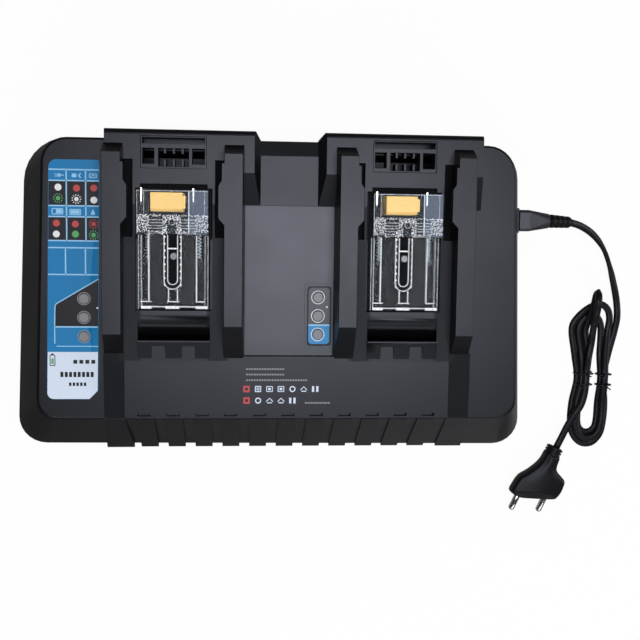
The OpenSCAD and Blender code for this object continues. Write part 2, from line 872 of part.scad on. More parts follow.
module transformer_core() {
    color([0.25, 0.24, 0.24])
        translate([transformer_at[0], transformer_at[1], z_on_board])
            difference() {
                span([-22, 22], [-14, 14], [0, core_h]);
                for (side = [-1, 1])
                    span([side > 0 ? 6 : -16, side > 0 ? 16 : -6], [-15, 15], [6, core_h - 6]);
            }
}

module transformer_winding() {
    color([0.85, 0.70, 0.25])
        translate([transformer_at[0], transformer_at[1], z_on_board])
            difference() {
                span([-15.8, 15.8], [-21, 21], [6.2, core_h - 6.2]);
                span([-6.2, 6.2], [-14.2, 14.2], [5, core_h - 5]);
                for (side = [-1, 1])
                    span([-17, 17], [side > 0 ? 14.2 : -22, side > 0 ? 22 : -14.2], [core_h - 8, core_h]);
            }
}

module mains_choke() {
    color([0.75, 0.42, 0.18])
        translate([76, -28, z_on_board + 5])
            rotate_extrude()
                translate([10, 0])
                    circle(r = 5);
}

module storage_capacitors() {
    color([0.10, 0.12, 0.30])
        for (k = [0:2])
            post([-20 + k * 22, -32], 9, [z_on_board, z_on_board + 32]);
}

module heat_sink() {
    color([0.7, 0.7, 0.72])
        translate([-50, 22, z_on_board]) {
            span([-35, 35], [0, 4], [0, 34]);
            for (k = [0:8]) span([-34 + k * 8.2, -32 + k * 8.2], [3.5, 18], [0, 34]);
        }
}

module power_transistors() {
    color([0.12, 0.12, 0.12])
        for (k = [-1:1])
            translate([-50 + k * 22, 22, z_on_board])
                span([-8, 8], [-5, 0], [3, 24]);
}

module buzzer() {
    color([0.08, 0.08, 0.08])
        difference() {
            post([80, 20], 6, [z_on_board, z_on_board + 8]);
            post([80, 20], 1, [z_on_board + 5, z_on_board + 9]);
        }
}

module fan_frame() {
    h = fan_size / 2;
    color([0.13, 0.13, 0.14])
        translate(fan_mid)
            rotate([90, 0, 0])
                translate([0, 0, -fan_depth / 2]) {
                    difference() {
                        span([-h, h], [-h, h], [0, fan_depth]);
                        translate([0, 0, -1]) cylinder(r = h - 1.5, h = fan_depth + 2);
                    }
                    // Motor seat on three arms, with the shaft the rotor turns on
                    difference() {
                        for (turn = [90, 210, 330])
                            rotate([0, 0, turn]) span([0, h - 1], [-1.5, 1.5], [0, 2]);
                        translate([0, 0, -1]) cylinder(r = 8, h = 5);
                    }
                    cylinder(r = 9, h = 2);
                    cylinder(r = fan_shaft_r, h = fan_depth - 1);
                }
}

module fan_rotor() {
    color([0.2, 0.2, 0.22])
        translate(fan_mid)
            rotate([90, 0, 0])
                translate([0, 0, -fan_depth / 2])
                    difference() {
                        union() {
                            translate([0, 0, 3]) cylinder(r = 9.5, h = fan_depth - 5);
                            for (k = [0:fan_blades - 1])
                                rotate([0, 0, k * 360 / fan_blades])
                                    translate([9, 0, fan_depth / 2 + 0.5])
                                        rotate([35, 0, 0])
                                            span([0, 13], [-6, 6], [-0.6, 0.6]);
                        }
                        cylinder(r = fan_shaft_r + fan_fit, h = fan_depth + 1);
                    }
}

// ---- Mains inlet and cord ----
module twin_socket(r, x) {
    translate([x[0], inlet_y, inlet_z])
        rotate([0, 90, 0]) {
            for (side = [-1, 1]) translate([0, side * 2.7, 0]) cylinder(r = r, h = x[1] - x[0]);
            translate([-r, -2.7, 0]) cube([2 * r, 5.4, x[1] - x[0]]);
        }
}

module twin_pins(r, x) {
    for (side = [-1, 1])
        translate([x[0], inlet_y + side * 2.7, inlet_z])
            rotate([0, 90, 0])
                cylinder(r = r, h = x[1] - x[0]);
}

module power_inlet() {
    color([0.09, 0.09, 0.1]) {
        difference() {
            union() {
                span([128, 144.4], [inlet_y - 9.5, inlet_y + 9.5], [inlet_z - 6, inlet_z + 6]);
                span([144, 149.6], [inlet_y - 7.6, inlet_y + 7.6], [inlet_z - 5.2, inlet_z + 5.2]);
            }
            twin_socket(3.7, [136, 152]);
        }
        twin_pins(1.2, [135, 147]);
    }
}

module cord_connector() {
    color(cord_black)
        difference() {
            union() {
                twin_socket(3.5, [137, 150.2]);
                hull() {
                    span([150.1, 155.6], [inlet_y - 6.6, inlet_y + 6.6], [inlet_z - 4, inlet_z + 4]);
                    span([150.1, 156.6], [inlet_y - 5.2, inlet_y + 5.2], [inlet_z - 5, inlet_z + 5]);
                    translate([relief_start[0] - 0.6, inlet_y, inlet_z])
                        rotate([0, 90, 0]) cylinder(r = 4.4, h = 0.6, $fn = 24);
                }
            }
            twin_pins(1.25, [136, 148]);
        }
}

// Ribbed sleeve where the cord leaves the connector
module cord_relief() {
    run = relief_end - relief_start;
    color(cord_black)
        translate(relief_start)
            rotate([0, acos(run[2] / norm(run)), atan2(run[1], run[0])]) {
                cylinder(r1 = 3.7, r2 = 3.1, h = norm(run));
                for (k = [0:3]) translate([0, 0, 0.8 + k * 3.6]) cylinder(r = 4.15 - k * 0.17, h = 2.4);
            }
}

module cord_lead() {
    color(cord_black) cord_tube(lead_route);
}

module cord_tail() {
    color(cord_black) cord_tube(tail_route);
}

module cord_hank() {
    color(cord_black)
        translate([0, 0, hank_z[0]])
            linear_extrude(hank_z[1] - hank_z[0])
                hull()
                    for (e = hank_ends) translate([e[0], e[1]]) circle(r = e[2]);
}

module hank_tie() {
    x = 212;
    color([0.05, 0.05, 0.05])
        difference() {
            span([x - tie_half_w - 1, x + tie_half_w + 1], [tie_y - 1, tie_y + 1], [0, 11]);
            span([x - tie_half_w, x + tie_half_w], [tie_y - 2, tie_y + 2], [0.7, 10.3]);
        }
}

module at_plug() {
    translate(plug_at)
        rotate([0, 0, 180 + plug_turn])
            children();
}

module plug_relief() {
    color(cord_black)
        at_plug()
            rotate([0, 90, 0]) {
                cylinder(r1 = 4.7, r2 = 5.1, h = 6);
                for (k = [0:2]) translate([0, 0, 0.5 + k * 2]) cylinder(r = 5.6, h = 1.2);
            }
}

module plug_body() {
    color(cord_black)
        at_plug() {
            difference() {
                // Full outline in the middle, drawn in towards the top and bottom
                union() {
                    translate([0, 0, plug_inset - plug_t / 2])
                        linear_extrude(plug_t - 2 * plug_inset)
                            polygon(plug_outline);
                    translate([0, 0, -plug_t / 2])
                        linear_extrude(plug_t)
                            offset(delta = -plug_inset)
                                polygon(plug_outline);
                }
                for (dx = [-pin_dx, pin_dx])
                    translate([pin_seat, dx, 0])
                        rotate([0, 90, 0])
                            cylinder(r = pin_r + 0.02, h = 20);
            }
        }
}

module plug_pins() {
    color(steel)
        at_plug()
            for (pin = [[50.5, -pin_dx], [44, pin_dx]])
                translate([pin_seat, pin[1], 0])
                    rotate([0, 90, 0]) {
                        cylinder(r = pin_r, h = pin[0] - pin_seat - 1);
                        translate([0, 0, pin[0] - pin_seat - 1])
                            cylinder(r1 = pin_r, r2 = pin_r - 0.8, h = 1);
                    }
}

lower_case();
upper_case();
battery_rails_left();
battery_rails_right();
middle_plate();
indicator_panel();
status_label();
status_lenses_left();
status_lenses_middle();
vent_grille_left();
vent_grille_right();
case_screws();
rubber_feet();
clear_cover_left();
clear_cover_right();
cover_springs_left();
cover_springs_right();
guide_screw_left();
guide_screw_right();
terminal_block_left();
terminal_block_right();
terminal_blades_left();
terminal_blades_right();
terminal_board_left();
terminal_board_right();
main_board();
board_screws();
indicator_board_left();
indicator_board_middle();
transformer_core();
transformer_winding();
mains_choke();
storage_capacitors();
heat_sink();
power_transistors();
buzzer();
fan_frame();
fan_rotor();
power_inlet();
cord_connector();
cord_relief();
cord_lead();
cord_hank();
hank_tie();
cord_tail();
plug_relief();
plug_body();
plug_pins();
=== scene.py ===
import bpy
import bmesh
from math import copysign, cos, exp, pi, radians, sin, tau
from mathutils import Matrix, Vector


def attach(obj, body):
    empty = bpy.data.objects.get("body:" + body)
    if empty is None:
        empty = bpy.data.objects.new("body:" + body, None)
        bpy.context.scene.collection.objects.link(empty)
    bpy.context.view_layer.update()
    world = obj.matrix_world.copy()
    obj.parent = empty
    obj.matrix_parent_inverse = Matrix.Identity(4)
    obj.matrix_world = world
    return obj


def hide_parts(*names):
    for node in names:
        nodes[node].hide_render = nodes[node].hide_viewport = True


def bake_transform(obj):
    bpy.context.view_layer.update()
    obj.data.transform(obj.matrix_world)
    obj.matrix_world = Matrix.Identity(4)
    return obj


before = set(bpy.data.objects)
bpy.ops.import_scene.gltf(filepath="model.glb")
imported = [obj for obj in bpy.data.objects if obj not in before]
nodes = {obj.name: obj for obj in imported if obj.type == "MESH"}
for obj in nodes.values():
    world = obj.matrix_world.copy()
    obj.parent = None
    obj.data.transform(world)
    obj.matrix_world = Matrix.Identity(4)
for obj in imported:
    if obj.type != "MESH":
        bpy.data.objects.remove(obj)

scene = bpy.context.scene
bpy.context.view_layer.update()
mm = 0.001
print("frame loaded:", len(nodes), "nodes")

# small helpers

def lerp(a, b, t):
    return a + (b - a) * t


def metres(*values):
    return tuple(v * mm for v in values)


def setAll(thing, **settings):
    for key, value in settings.items():
        setattr(thing, key, value)
    return thing


def newObject(name, data, **settings):
    thing = setAll(bpy.data.objects.new(name, data), **settings)
    scene.collection.objects.link(thing)
    return thing


def modify(piece, name, kind, **settings):
    return setAll(piece.modifiers.new(name, kind), **settings)


def builtMesh(piece):
    seen = piece.evaluated_get(bpy.context.evaluated_depsgraph_get())
    return bpy.data.meshes.new_from_object(seen)


def newPiece(name, mesh, body, matName, replaced=()):
    piece = newObject(name, mesh)
    piece.data.materials.append(mats[matName])
    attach(piece, body)
    if replaced:
        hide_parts(*replaced)
    return piece


def meshFrom(name, verts, faces, smooth=True):
    mesh = bpy.data.meshes.new(name)
    mesh.from_pydata([tuple(v) for v in verts], [], faces)
    mesh.update()
    if smooth:
        mesh.polygons.foreach_set("use_smooth", [True] * len(mesh.polygons))
    return mesh


def joinMeshes(name, meshes):
    bm = bmesh.new()
    for mesh in meshes:
        bm.from_mesh(mesh)
    joined = bpy.data.meshes.new(name)
    bm.to_mesh(joined)
    bm.free()
    return joined


def fixNormals(mesh):
    bm = bmesh.new()
    bm.from_mesh(mesh)
    bmesh.ops.remove_doubles(bm, verts=bm.verts, dist=1e-6)
    bmesh.ops.recalc_face_normals(bm, faces=bm.faces)
    bm.to_mesh(mesh)
    bm.free()


# closed forms as (points in mm, faces); z is the foot and top levels

def boxPart(x, y, z):
    points = [(a, b, c) for c in z for b in y for a in x]
    return points, [(0, 2, 3, 1), (4, 5, 7, 6), (0, 1, 5, 4), (2, 6, 7, 3), (0, 4, 6, 2), (1, 3, 7, 5)]


def prismPart(outline, z):
    n = len(outline)
    points = [(x, y, level) for level in z for x, y in outline]
    faces = [tuple(reversed(range(n))), tuple(range(n, 2 * n))]
    faces += [(k, (k + 1) % n, n + (k + 1) % n, n + k) for k in range(n)]
    return points, faces


def arcPoints(x, y, r, start, end, steps):
    angles = [radians(lerp(start, end, i / steps)) for i in range(steps + 1)]
    return [(x + r * cos(a), y + r * sin(a)) for a in angles]


def circlePoints(x, y, r, sides):
    return arcPoints(x, y, r, 0, 360, sides)[:-1]


def discPart(x, y, r, sides, z):
    return prismPart(circlePoints(x, y, r, sides), z)


def loopPart(outer, inner, z):
    n = len(outer)
    points = [(x, y, level) for level in z for ring in (outer, inner) for x, y in ring]
    faces = []
    for k in range(n):
        j = (k + 1) % n
        faces += [(k, j, 2 * n + j, 2 * n + k), (n + j, n + k, 3 * n + k, 3 * n + j),
                  (2 * n + k, 2 * n + j, 3 * n + j, 3 * n + k), (j, k, n + k, n + j)]
    return points, faces


def ringPart(x, y, inner, outer, sides, z):
    return loopPart(circlePoints(x, y, outer, sides), circlePoints(x, y, inner, sides), z)


def frameOutline(x, y, r, steps=3):
    corners = [(x[0] + r, y[0] + r), (x[1] - r, y[0] + r), (x[1] - r, y[1] - r), (x[0] + r, y[1] - r)]
    outline = []
    for corner, start in zip(corners, (180, 270, 0, 90)):
        outline += arcPoints(*corner, r, start, start + 90, steps)
    return outline


def framePart(x, y, wide, r, z):
    inside = ([x[0] + wide, x[1] - wide], [y[0] + wide, y[1] - wide])
    return loopPart(frameOutline(x, y, r), frameOutline(*inside, max(r - wide, 0.05)), z)


def aheadAt(line, i):
    # the way a line runs at one of its points
    return (Vector(line[min(i + 1, len(line) - 1)]) - Vector(line[max(i - 1, 0)])).normalized()


def strokePart(points, wide, z):
    # a thin line of even width through a few points
    left, right = [], []
    for i, (x, y) in enumerate(points):
        ahead = aheadAt(points, i)
        side = Vector((-ahead.y, ahead.x)) * wide / 2
        left.append((x + side.x, y + side.y))
        right.append((x - side.x, y - side.y))
    return prismPart(right + left[::-1], z)


flatForms = {"box": boxPart, "disc": discPart, "ring": ringPart, "frame": framePart, "stroke": strokePart,
             "prism": prismPart}

def flatParts(marks, z):
    # marks are tuples of a form's name and its own numbers
    return [flatForms[form](*numbers, z) for form, *numbers in marks]


def solidMesh(name, parts, shift=(0, 0, 0), smooth=False):
    points, faces = [], []
    for partPoints, partFaces in parts:
        base = len(points)
        points += [metres(x + shift[0], y + shift[1], z + shift[2]) for x, y, z in partPoints]
        faces += [tuple(base + i for i in face) for face in partFaces]
    return meshFrom(name, points, faces, smooth)


# shorthand for nodes; an input is a plain value or another node's output

def addNode(tree, kind, inputs=None, **settings):
    node = setAll(tree.nodes.new(kind), **settings)
    for key, value in (inputs or {}).items():
        if isinstance(value, bpy.types.NodeSocket):
            tree.links.new(value, node.inputs[key])
        else:
            node.inputs[key].default_value = value
    return node


def calc(tree, operation, *values, kind="Math", **settings):
    inputs = dict(enumerate(values))
    return addNode(tree, "ShaderNode" + kind, inputs, operation=operation, **settings).outputs[0]


def remap(tree, value, low, high, start=0.0, end=1.0):
    limits = {"From Min": start, "From Max": end, "To Min": low, "To Max": high}
    return addNode(tree, "ShaderNodeMapRange", {"Value": value, **limits}).outputs[0]


def joinAxes(tree, *values):
    return addNode(tree, "ShaderNodeCombineXYZ", dict(enumerate(values))).outputs[0]


def splitAxes(tree, vector):
    return addNode(tree, "ShaderNodeSeparateXYZ", {0: vector}).outputs


def objectSpace(tree):
    return addNode(tree, "ShaderNodeTexCoord").outputs["Object"]


def noise(tree, space, scale, detail):
    return addNode(tree, "ShaderNodeTexNoise", {"Vector": space, "Scale": scale, "Detail": detail}).outputs["Fac"]


def bump(tree, height, strength):
    return addNode(tree, "ShaderNodeBump", {"Strength": strength, "Distance": 0.1 * mm, "Height": height}).outputs[0]


def addShader(tree, kind, **inputs):
    named = {key.replace("_", " "): value for key, value in inputs.items()}
    return addNode(tree, "ShaderNode" + kind, named).outputs[0]


def mixShaders(tree, share, first, second):
    return addNode(tree, "ShaderNodeMixShader", {0: share, 1: first, 2: second}).outputs[0]


def colour(rgb):
    return (*rgb, 1.0)


def newMaterial(name):
    mat = bpy.data.materials.new(name)
    mat.use_nodes = True
    mat.node_tree.nodes.clear()
    return mat, mat.node_tree


def endMaterial(mat, shader):
    addNode(mat.node_tree, "ShaderNodeOutputMaterial", {0: shader})
    return mat


# camera, floor and lights

cameraSettings = {
    "place": {"location": (-0.0242, 0.0409, 0.6417), "rotation_euler": (-0.0927, -0.0841, 0.0139)},
    "lens": {"lens": 55.76, "sensor_width": 36, "clip_start": 0.01, "clip_end": 50},
}

def makeCamera():
    data = setAll(bpy.data.cameras.new("camera"), **cameraSettings["lens"])
    scene.camera = newObject("camera", data, **cameraSettings["place"])


stageSettings = {
    "floorSize": 12,
    "floorColour": (0.9, 0.9, 0.9),
    "floorWhite": 0.94,  # how much of the floor shows as plain white to the camera
    "floorMirrored": (0.1, 0.34),  # how bright the floor is in a reflection, at the two places along X
    "floorFade": (-0.2, 0.2),
    "roomMirrored": 0.05,  # how much of the white background a reflection meets
    "fill": 0.35,  # the room's own soft light
    # place, aim, size and power
    "lamps": {
        "overhead": ((0.105, 0.03, 1.35), (0.105, 0.03, 0), (0.69, 0.42), 8.6),
        "front": ((0, -1.02, 0.77), (0, 0, 0.05), (1.4, 0.28), 4.4),
        "rightSide": ((1.3, 0.1, 0.45), (0, 0, 0.05), (0.6, 0.3), 4.6),
    },
}

def rayShare(tree, seen, glossy):
    # one value for the camera and for what is seen straight through glass, another for reflections
    path = addNode(tree, "ShaderNodeLightPath").outputs
    through = path["Is Transmission Ray"]
    straight = calc(tree, "LESS_THAN", calc(tree, "ADD", path["Glossy Depth"], path["Diffuse Depth"]), 0.5)
    direct = calc(tree, "MAXIMUM", path["Is Camera Ray"], calc(tree, "MULTIPLY", through, straight))
    bent = calc(tree, "MAXIMUM", path["Is Glossy Ray"], through)
    return calc(tree, "MAXIMUM", calc(tree, "MULTIPLY", direct, seen), calc(tree, "MULTIPLY", bent, glossy))


def makeFloor():
    s = stageSettings
    half = s["floorSize"] / 2
    corners = [(-half, -half, 0), (half, -half, 0), (half, half, 0), (-half, half, 0)]
    floor = newObject("floor", meshFrom("floor", corners, [(0, 1, 2, 3)], False))
    mat, tree = newMaterial("floorPaper")
    paper = addShader(tree, "BsdfDiffuse", Color=colour(s["floorColour"]))
    mirrored = remap(tree, splitAxes(tree, objectSpace(tree))["X"], *s["floorMirrored"], *s["floorFade"])
    strength = calc(tree, "MAXIMUM", rayShare(tree, 1.0, 0.0), mirrored)
    white = addShader(tree, "Emission", Strength=strength)
    shader = mixShaders(tree, rayShare(tree, s["floorWhite"], 1.0), paper, white)
    floor.data.materials.append(endMaterial(mat, shader))


def makeRoom():
    s = stageSettings
    world = bpy.data.worlds.new("room")
    scene.world = world
    world.use_nodes = True
    tree = world.node_tree
    tree.nodes.clear()
    fill = calc(tree, "MULTIPLY", addNode(tree, "ShaderNodeLightPath").outputs["Is Diffuse Ray"], s["fill"])
    strength = calc(tree, "MAXIMUM", rayShare(tree, 1.0, s["roomMirrored"]), fill)
    back = addShader(tree, "Background", Color=(1, 1, 1, 1), Strength=strength)
    addNode(tree, "ShaderNodeOutputWorld", {0: back})
    for name, (place, aim, (wide, deep), power) in s["lamps"].items():
        lamp = setAll(bpy.data.lights.new(name, "AREA"), shape="RECTANGLE", size=wide, size_y=deep, energy=power)
        turn = (Vector(aim) - Vector(place)).to_track_quat("-Z", "Y").to_euler()
        newObject(name, lamp, location=place, rotation_euler=turn)
    scene.view_settings.view_transform = "Standard"


makeCamera()
makeFloor()
makeRoom()
print("camera and stage ready")

# materials

bays = {"left": -59.5, "right": 73.1}  # each bay's middle line, in mm
# colour, roughness, grain size in metres, grain depth and reflection level
plastics = {
    "casePlastic": ((0.0035, 0.0035, 0.0045), 0.36, 0.00035, 0.05, 0.36),
    "platePlastic": ((0.014, 0.015, 0.019), 0.4, 0.0003, 0.08, 0.64),
    "grillePlastic": ((0.01, 0.01, 0.012), 0.42, 0.0003, 0.08, 0.5),
    "mouldedBlack": ((0.004, 0.004, 0.005), 0.4, 0.0005, 0.05, 0.4),
    "cordRubber": ((0.005, 0.0045, 0.0055), 0.42, 0.0006, 0.06, 0.25),
    "footRubber": ((0.02, 0.02, 0.02), 0.75, 0.0006, 0.2, 0.3),
    "connectorRubber": ((0.012, 0.012, 0.015), 0.42, 0.0005, 0.05, 0.85),
    "yellowPlastic": ((0.97, 0.53, 0.135), 0.45, 0.0004, 0.05, 0.25),
    "circuitBoard": ((0.01, 0.12, 0.04), 0.4, 0.001, 0.1, 0.5),
    "coreFerrite": ((0.04, 0.04, 0.04), 0.6, 0.0008, 0.3, 0.4),
    "capacitorSleeve": ((0.01, 0.015, 0.06), 0.3, 0.001, 0.05, 0.5),
    "lensPlastic": ((0.2, 0.2, 0.205), 0.35, 0.0006, 0.05, 0.4),
}
inkLook = (0.4, 0.0008, 0.03, 0.2)
inks = {
    "filmBlue": (0.0115, 0.187, 0.435),
    "filmBright": (0.045, 0.27, 0.57),
    "inkDark": (0.018, 0.016, 0.018),
    "inkPale": (0.62, 0.7, 0.84),
    "inkSky": (0.3, 0.58, 0.86),
    "inkWhite": (0.78, 0.8, 0.82),
    "inkGrey": (0.26, 0.26, 0.28),
    "inkRed": (0.5, 0.07, 0.07),
    "inkGreen": (0.1, 0.38, 0.13),
}
# a material's duller places: how much rougher, then boxes measured aside from a bay's middle line, along Y and up
dullBoxes = {
    "casePlastic": [
        # the hollows of each bay
        (0.6, [((20.6, 30.5), (34, 79.6), (58, 67)), ((-1, 27), (61.4, 66), (50, 69)),
               ((-1, 20.5), (-7, 62), (58, 66))]),
        # the deck beside the cover, and the comb of teeth before it
        (0.18, [((19, 31), (-36, 54), (67.5, 71)), ((-1, 20.6), (-36, -25.3), (69.65, 74))]),
    ],
}
plasticLook = {
    "cloud": (35.0, 4.0),  # scale and detail of the uneven roughness
    "grainDetail": 3.0,
    "rub": (-0.04, 0.05),  # how far the roughness strays
    "tint": (0.9, 1.1),  # how far the colour strays, as shares
    "reflection": (0.82, 0.86, 1.0),
    "boxEdge": (-0.0003, 0.0003),  # how softly a dull box ends
}

def hollowShare(tree, space, boxes):
    # 1 inside any of the boxes, which stand the same way beside both bays
    middle, half = (bays["right"] + bays["left"]) / 2, (bays["right"] - bays["left"]) / 2
    x, y, z = splitAxes(tree, space)
    for shift in (middle, half):
        x = calc(tree, "ABSOLUTE", calc(tree, "SUBTRACT", x, shift * mm))
    folded = joinAxes(tree, x, y, z)
    most = None
    for box in boxes:
        centre = tuple((a + b) / 2 * mm for a, b in box)
        size = tuple((b - a) / 2 * mm for a, b in box)
        away = calc(tree, "SUBTRACT", folded, centre, kind="VectorMath")
        away = calc(tree, "ABSOLUTE", away, kind="VectorMath")
        depths = splitAxes(tree, calc(tree, "SUBTRACT", size, away, kind="VectorMath"))
        least = calc(tree, "MINIMUM", calc(tree, "MINIMUM", depths[0], depths[1]), depths[2])
        most = calc(tree, "MAXIMUM", most, least) if most else least
    return remap(tree, most, 0.0, 1.0, *plasticLook["boxEdge"])


def makePlastic(name, rgb, rough, grainSize, depth, level):
    s = plasticLook
    mat, tree = newMaterial(name)
    space = objectSpace(tree)
    grain = noise(tree, space, 1 / grainSize, s["grainDetail"])
    rub = remap(tree, noise(tree, space, *s["cloud"]), *(rough + stray for stray in s["rub"]))
    for more, boxes in dullBoxes.get(name, ()):
        dull = calc(tree, "MULTIPLY", hollowShare(tree, space, boxes), more)
        rub = calc(tree, "ADD", rub, dull, use_clamp=True)
    dark, pale = (colour(min(v * share, 1) for v in rgb) for share in s["tint"])
    tint = addNode(tree, "ShaderNodeMix", {0: grain, 6: dark, 7: pale}, data_type="RGBA").outputs[2]
    shader = addShader(tree, "BsdfPrincipled", Base_Color=tint, Roughness=rub, Specular_IOR_Level=level,
                       Specular_Tint=colour(s["reflection"]), Normal=bump(tree, grain, depth))
    return endMaterial(mat, shader)


# colour, roughness and scale of the scratches
metals = {
    "platedSteel": ((0.55, 0.56, 0.58), 0.28, 900),
    "dullSteel": ((0.16, 0.16, 0.17), 0.4, 700),
    "springSteel": ((0.85, 0.86, 0.88), 0.48, 500),
    "contactMetal": ((0.85, 0.85, 0.84), 0.22, 700),
    "pinMetal": ((0.62, 0.62, 0.62), 0.16, 700),
    "windingCopper": ((0.65, 0.27, 0.08), 0.35, 400),
    "sinkAluminium": ((0.62, 0.63, 0.65), 0.35, 500),
}
metalLook = {"detail": 4.0, "rub": (-0.08, 0.1), "depth": 0.06}

def makeMetal(name, rgb, rough, scale):
    s = metalLook
    mat, tree = newMaterial(name)
    streaks = noise(tree, objectSpace(tree), scale, s["detail"])
    rub = remap(tree, streaks, *(rough + stray for stray in s["rub"]))
    return endMaterial(mat, addShader(tree, "BsdfPrincipled", Base_Color=colour(rgb), Metallic=1.0,
                                      Roughness=rub, Normal=bump(tree, streaks, s["depth"])))


clearLook = {
    # a blue tint that paints in the bluish reflection on the covers
    "glass": (0.85, 0.93, 1.0),
    "cloud": (220.0, 3.0),  # scale and detail of the uneven roughness
    "rub": (0.04, 0.12),
    "ior": 1.09,  # low, so that the lamps' reflection doesn't veil the hollow below
    "roof": 0.0826,  # above this level a painted bluish reflection is mixed in on the right
    "reflectionFrom": 0.0081,  # where the painted reflection sets in on the right, from the bay's middle line
    "reflectionFade": 0.0006,
    # the painted reflection's bluish colour
    "reflectionColour": (0.22, 0.27, 0.37),
    "reflectionShare": (0.03, 0.5),
    "letThrough": 0.9,  # the share of light that passes, so that the shadow is faint
}
# pale materials for the clear covers' edges and specks: painted highlights where the clear plastic catches the light
clearHighlightLook = {
    # the painted highlight's colour
    "edge": (0.86, 0.88, 0.92),
    "rough": 0.35,
    "glass": (0.95, 0.97, 1.0),
    "glassRough": 0.1,
    "speckle": (900.0, 2.0),
    "contrast": (0.35, 0.65),
    # least and most that stays see-through; the rest is the painted highlight's pale colour
    "shares": {"clearHighlight": (0.0, 0.35), "clearFaintHighlight": (0.55, 0.9), "clearSparkleHighlight": (0.0, 0.1)},
}

def letLight(tree, shader):
    shadow = addNode(tree, "ShaderNodeLightPath").outputs["Is Shadow Ray"]
    share = calc(tree, "MULTIPLY", shadow, clearLook["letThrough"])
    return mixShaders(tree, share, shader, addShader(tree, "BsdfTransparent"))


def addGlass(tree, rgb, rough):
    return addShader(tree, "BsdfPrincipled", Base_Color=colour(rgb), IOR=clearLook["ior"],
                     Transmission_Weight=1.0, Roughness=rough)


def makeClear(name, middle):
    # clear plastic whose roof carries a painted reflection on the right of the contact block: a pale bluish diffuse
    # colour mixed into the glass
    s = clearLook
    mat, tree = newMaterial(name)
    space = objectSpace(tree)
    glass = addGlass(tree, s["glass"], remap(tree, noise(tree, space, *s["cloud"]), *s["rub"]))
    # painted reflection: a pale diffuse colour standing in for the bluish reflection on the roof
    paintedReflection = addShader(tree, "BsdfDiffuse", Color=colour(s["reflectionColour"]))
    x, y, z = splitAxes(tree, space)
    start = middle * mm + s["reflectionFrom"]
    aside = remap(tree, x, *s["reflectionShare"], start, start + s["reflectionFade"])
    share = calc(tree, "MULTIPLY", calc(tree, "GREATER_THAN", z, s["roof"]), aside)
    return endMaterial(mat, letLight(tree, mixShaders(tree, share, glass, paintedReflection)))


def makeClearHighlight(name, shares):
    # painted highlight: a pale diffuse colour speckled with glass, for the light that a clear part's edges gather
    s = clearHighlightLook
    mat, tree = newMaterial(name)
    speckle = noise(tree, objectSpace(tree), *s["speckle"])
    # the painted highlight, a pale diffuse colour
    white = addShader(tree, "BsdfPrincipled", Base_Color=colour(s["edge"]), Roughness=s["rough"])
    glass = addGlass(tree, s["glass"], s["glassRough"])
    share = remap(tree, speckle, *shares, *s["contrast"])
    return endMaterial(mat, letLight(tree, mixShaders(tree, share, white, glass)))


plastics.update({name: (rgb, *inkLook) for name, rgb in inks.items()})
mats = {name: makePlastic(name, *look) for name, look in plastics.items()}
mats.update({name: makeMetal(name, *look) for name, look in metals.items()})
mats.update({"clear_" + side: makeClear("clearPlastic_" + side, x) for side, x in bays.items()})
mats.update({name: makeClearHighlight(name, shares) for name, shares in clearHighlightLook["shares"].items()})
print("materials ready:", len(mats))

# node trees for what repeats

def newTree(name, **inputs):
    tree = bpy.data.node_groups.new(name, "GeometryNodeTree")
    for way in ("INPUT", "OUTPUT"):
        tree.interface.new_socket("Geometry", in_out=way, socket_type="NodeSocketGeometry")
    for label, kind in {**inputs, "Finish": "Material"}.items():
        tree.interface.new_socket(label, in_out="INPUT", socket_type="NodeSocket" + kind)
    return tree, addNode(tree, "NodeGroupInput").outputs


def addForm(tree, kind, inputs=None):
    return addNode(tree, "GeometryNode" + kind, inputs).outputs[0]


def endTree(tree, given, source):
    real = addForm(tree, "RealizeInstances", {0: source})
    finish = addForm(tree, "SetMaterial", {"Geometry": real, "Material": given["Finish"]})
    addNode(tree, "NodeGroupOutput", {0: finish})
    return tree


def copyOnto(tree, given, points, **inputs):
    return addForm(tree, "InstanceOnPoints", {"Points": points, "Instance": given[0], **inputs})


def setDown(tree, source, place, **inputs):
    return addForm(tree, "Transform", {0: source, "Translation": place, **inputs})


def makeRowTree():
    # the given form repeated along a straight line
    tree, given = newTree("row", Count="Int", Step="Vector")
    line = addForm(tree, "MeshLine", {"Count": given["Count"], "Offset": given["Step"]})
    return endTree(tree, given, copyOnto(tree, given, line))


def makeRingTree():
    # the given form turned about its own origin, then set down at the centre
    tree, given = newTree("ring", Count="Int", Centre="Vector")
    line = addForm(tree, "MeshLine", {"Count": given["Count"], "Offset": (0, 0, 0)})
    turn = calc(tree, "MULTIPLY", addForm(tree, "InputIndex"), calc(tree, "DIVIDE", tau, given["Count"]))
    copies = copyOnto(tree, given, line, Rotation=joinAxes(tree, 0.0, 0.0, turn))
    return endTree(tree, given, setDown(tree, copies, given["Centre"]))


def makeCoilTree():
    # a round wire wound from the start point along Y
    tree, given = newTree("coil", Turns="Float", Radius="Float", Length="Float", Wire="Float", Start="Vector")
    radii = {"Start Radius": given["Radius"], "End Radius": given["Radius"]}
    spiral = addForm(tree, "CurveSpiral", {"Resolution": 14, "Rotations": given["Turns"], "Height": given["Length"],
                                           **radii})
    wire = addForm(tree, "CurvePrimitiveCircle", {"Resolution": 6, "Radius": given["Wire"]})
    tube = addForm(tree, "CurveToMesh", {"Curve": spiral, "Profile Curve": wire, "Fill Caps": True})
    return endTree(tree, given, setDown(tree, tube, given["Start"], Rotation=(-pi / 2, 0, 0)))


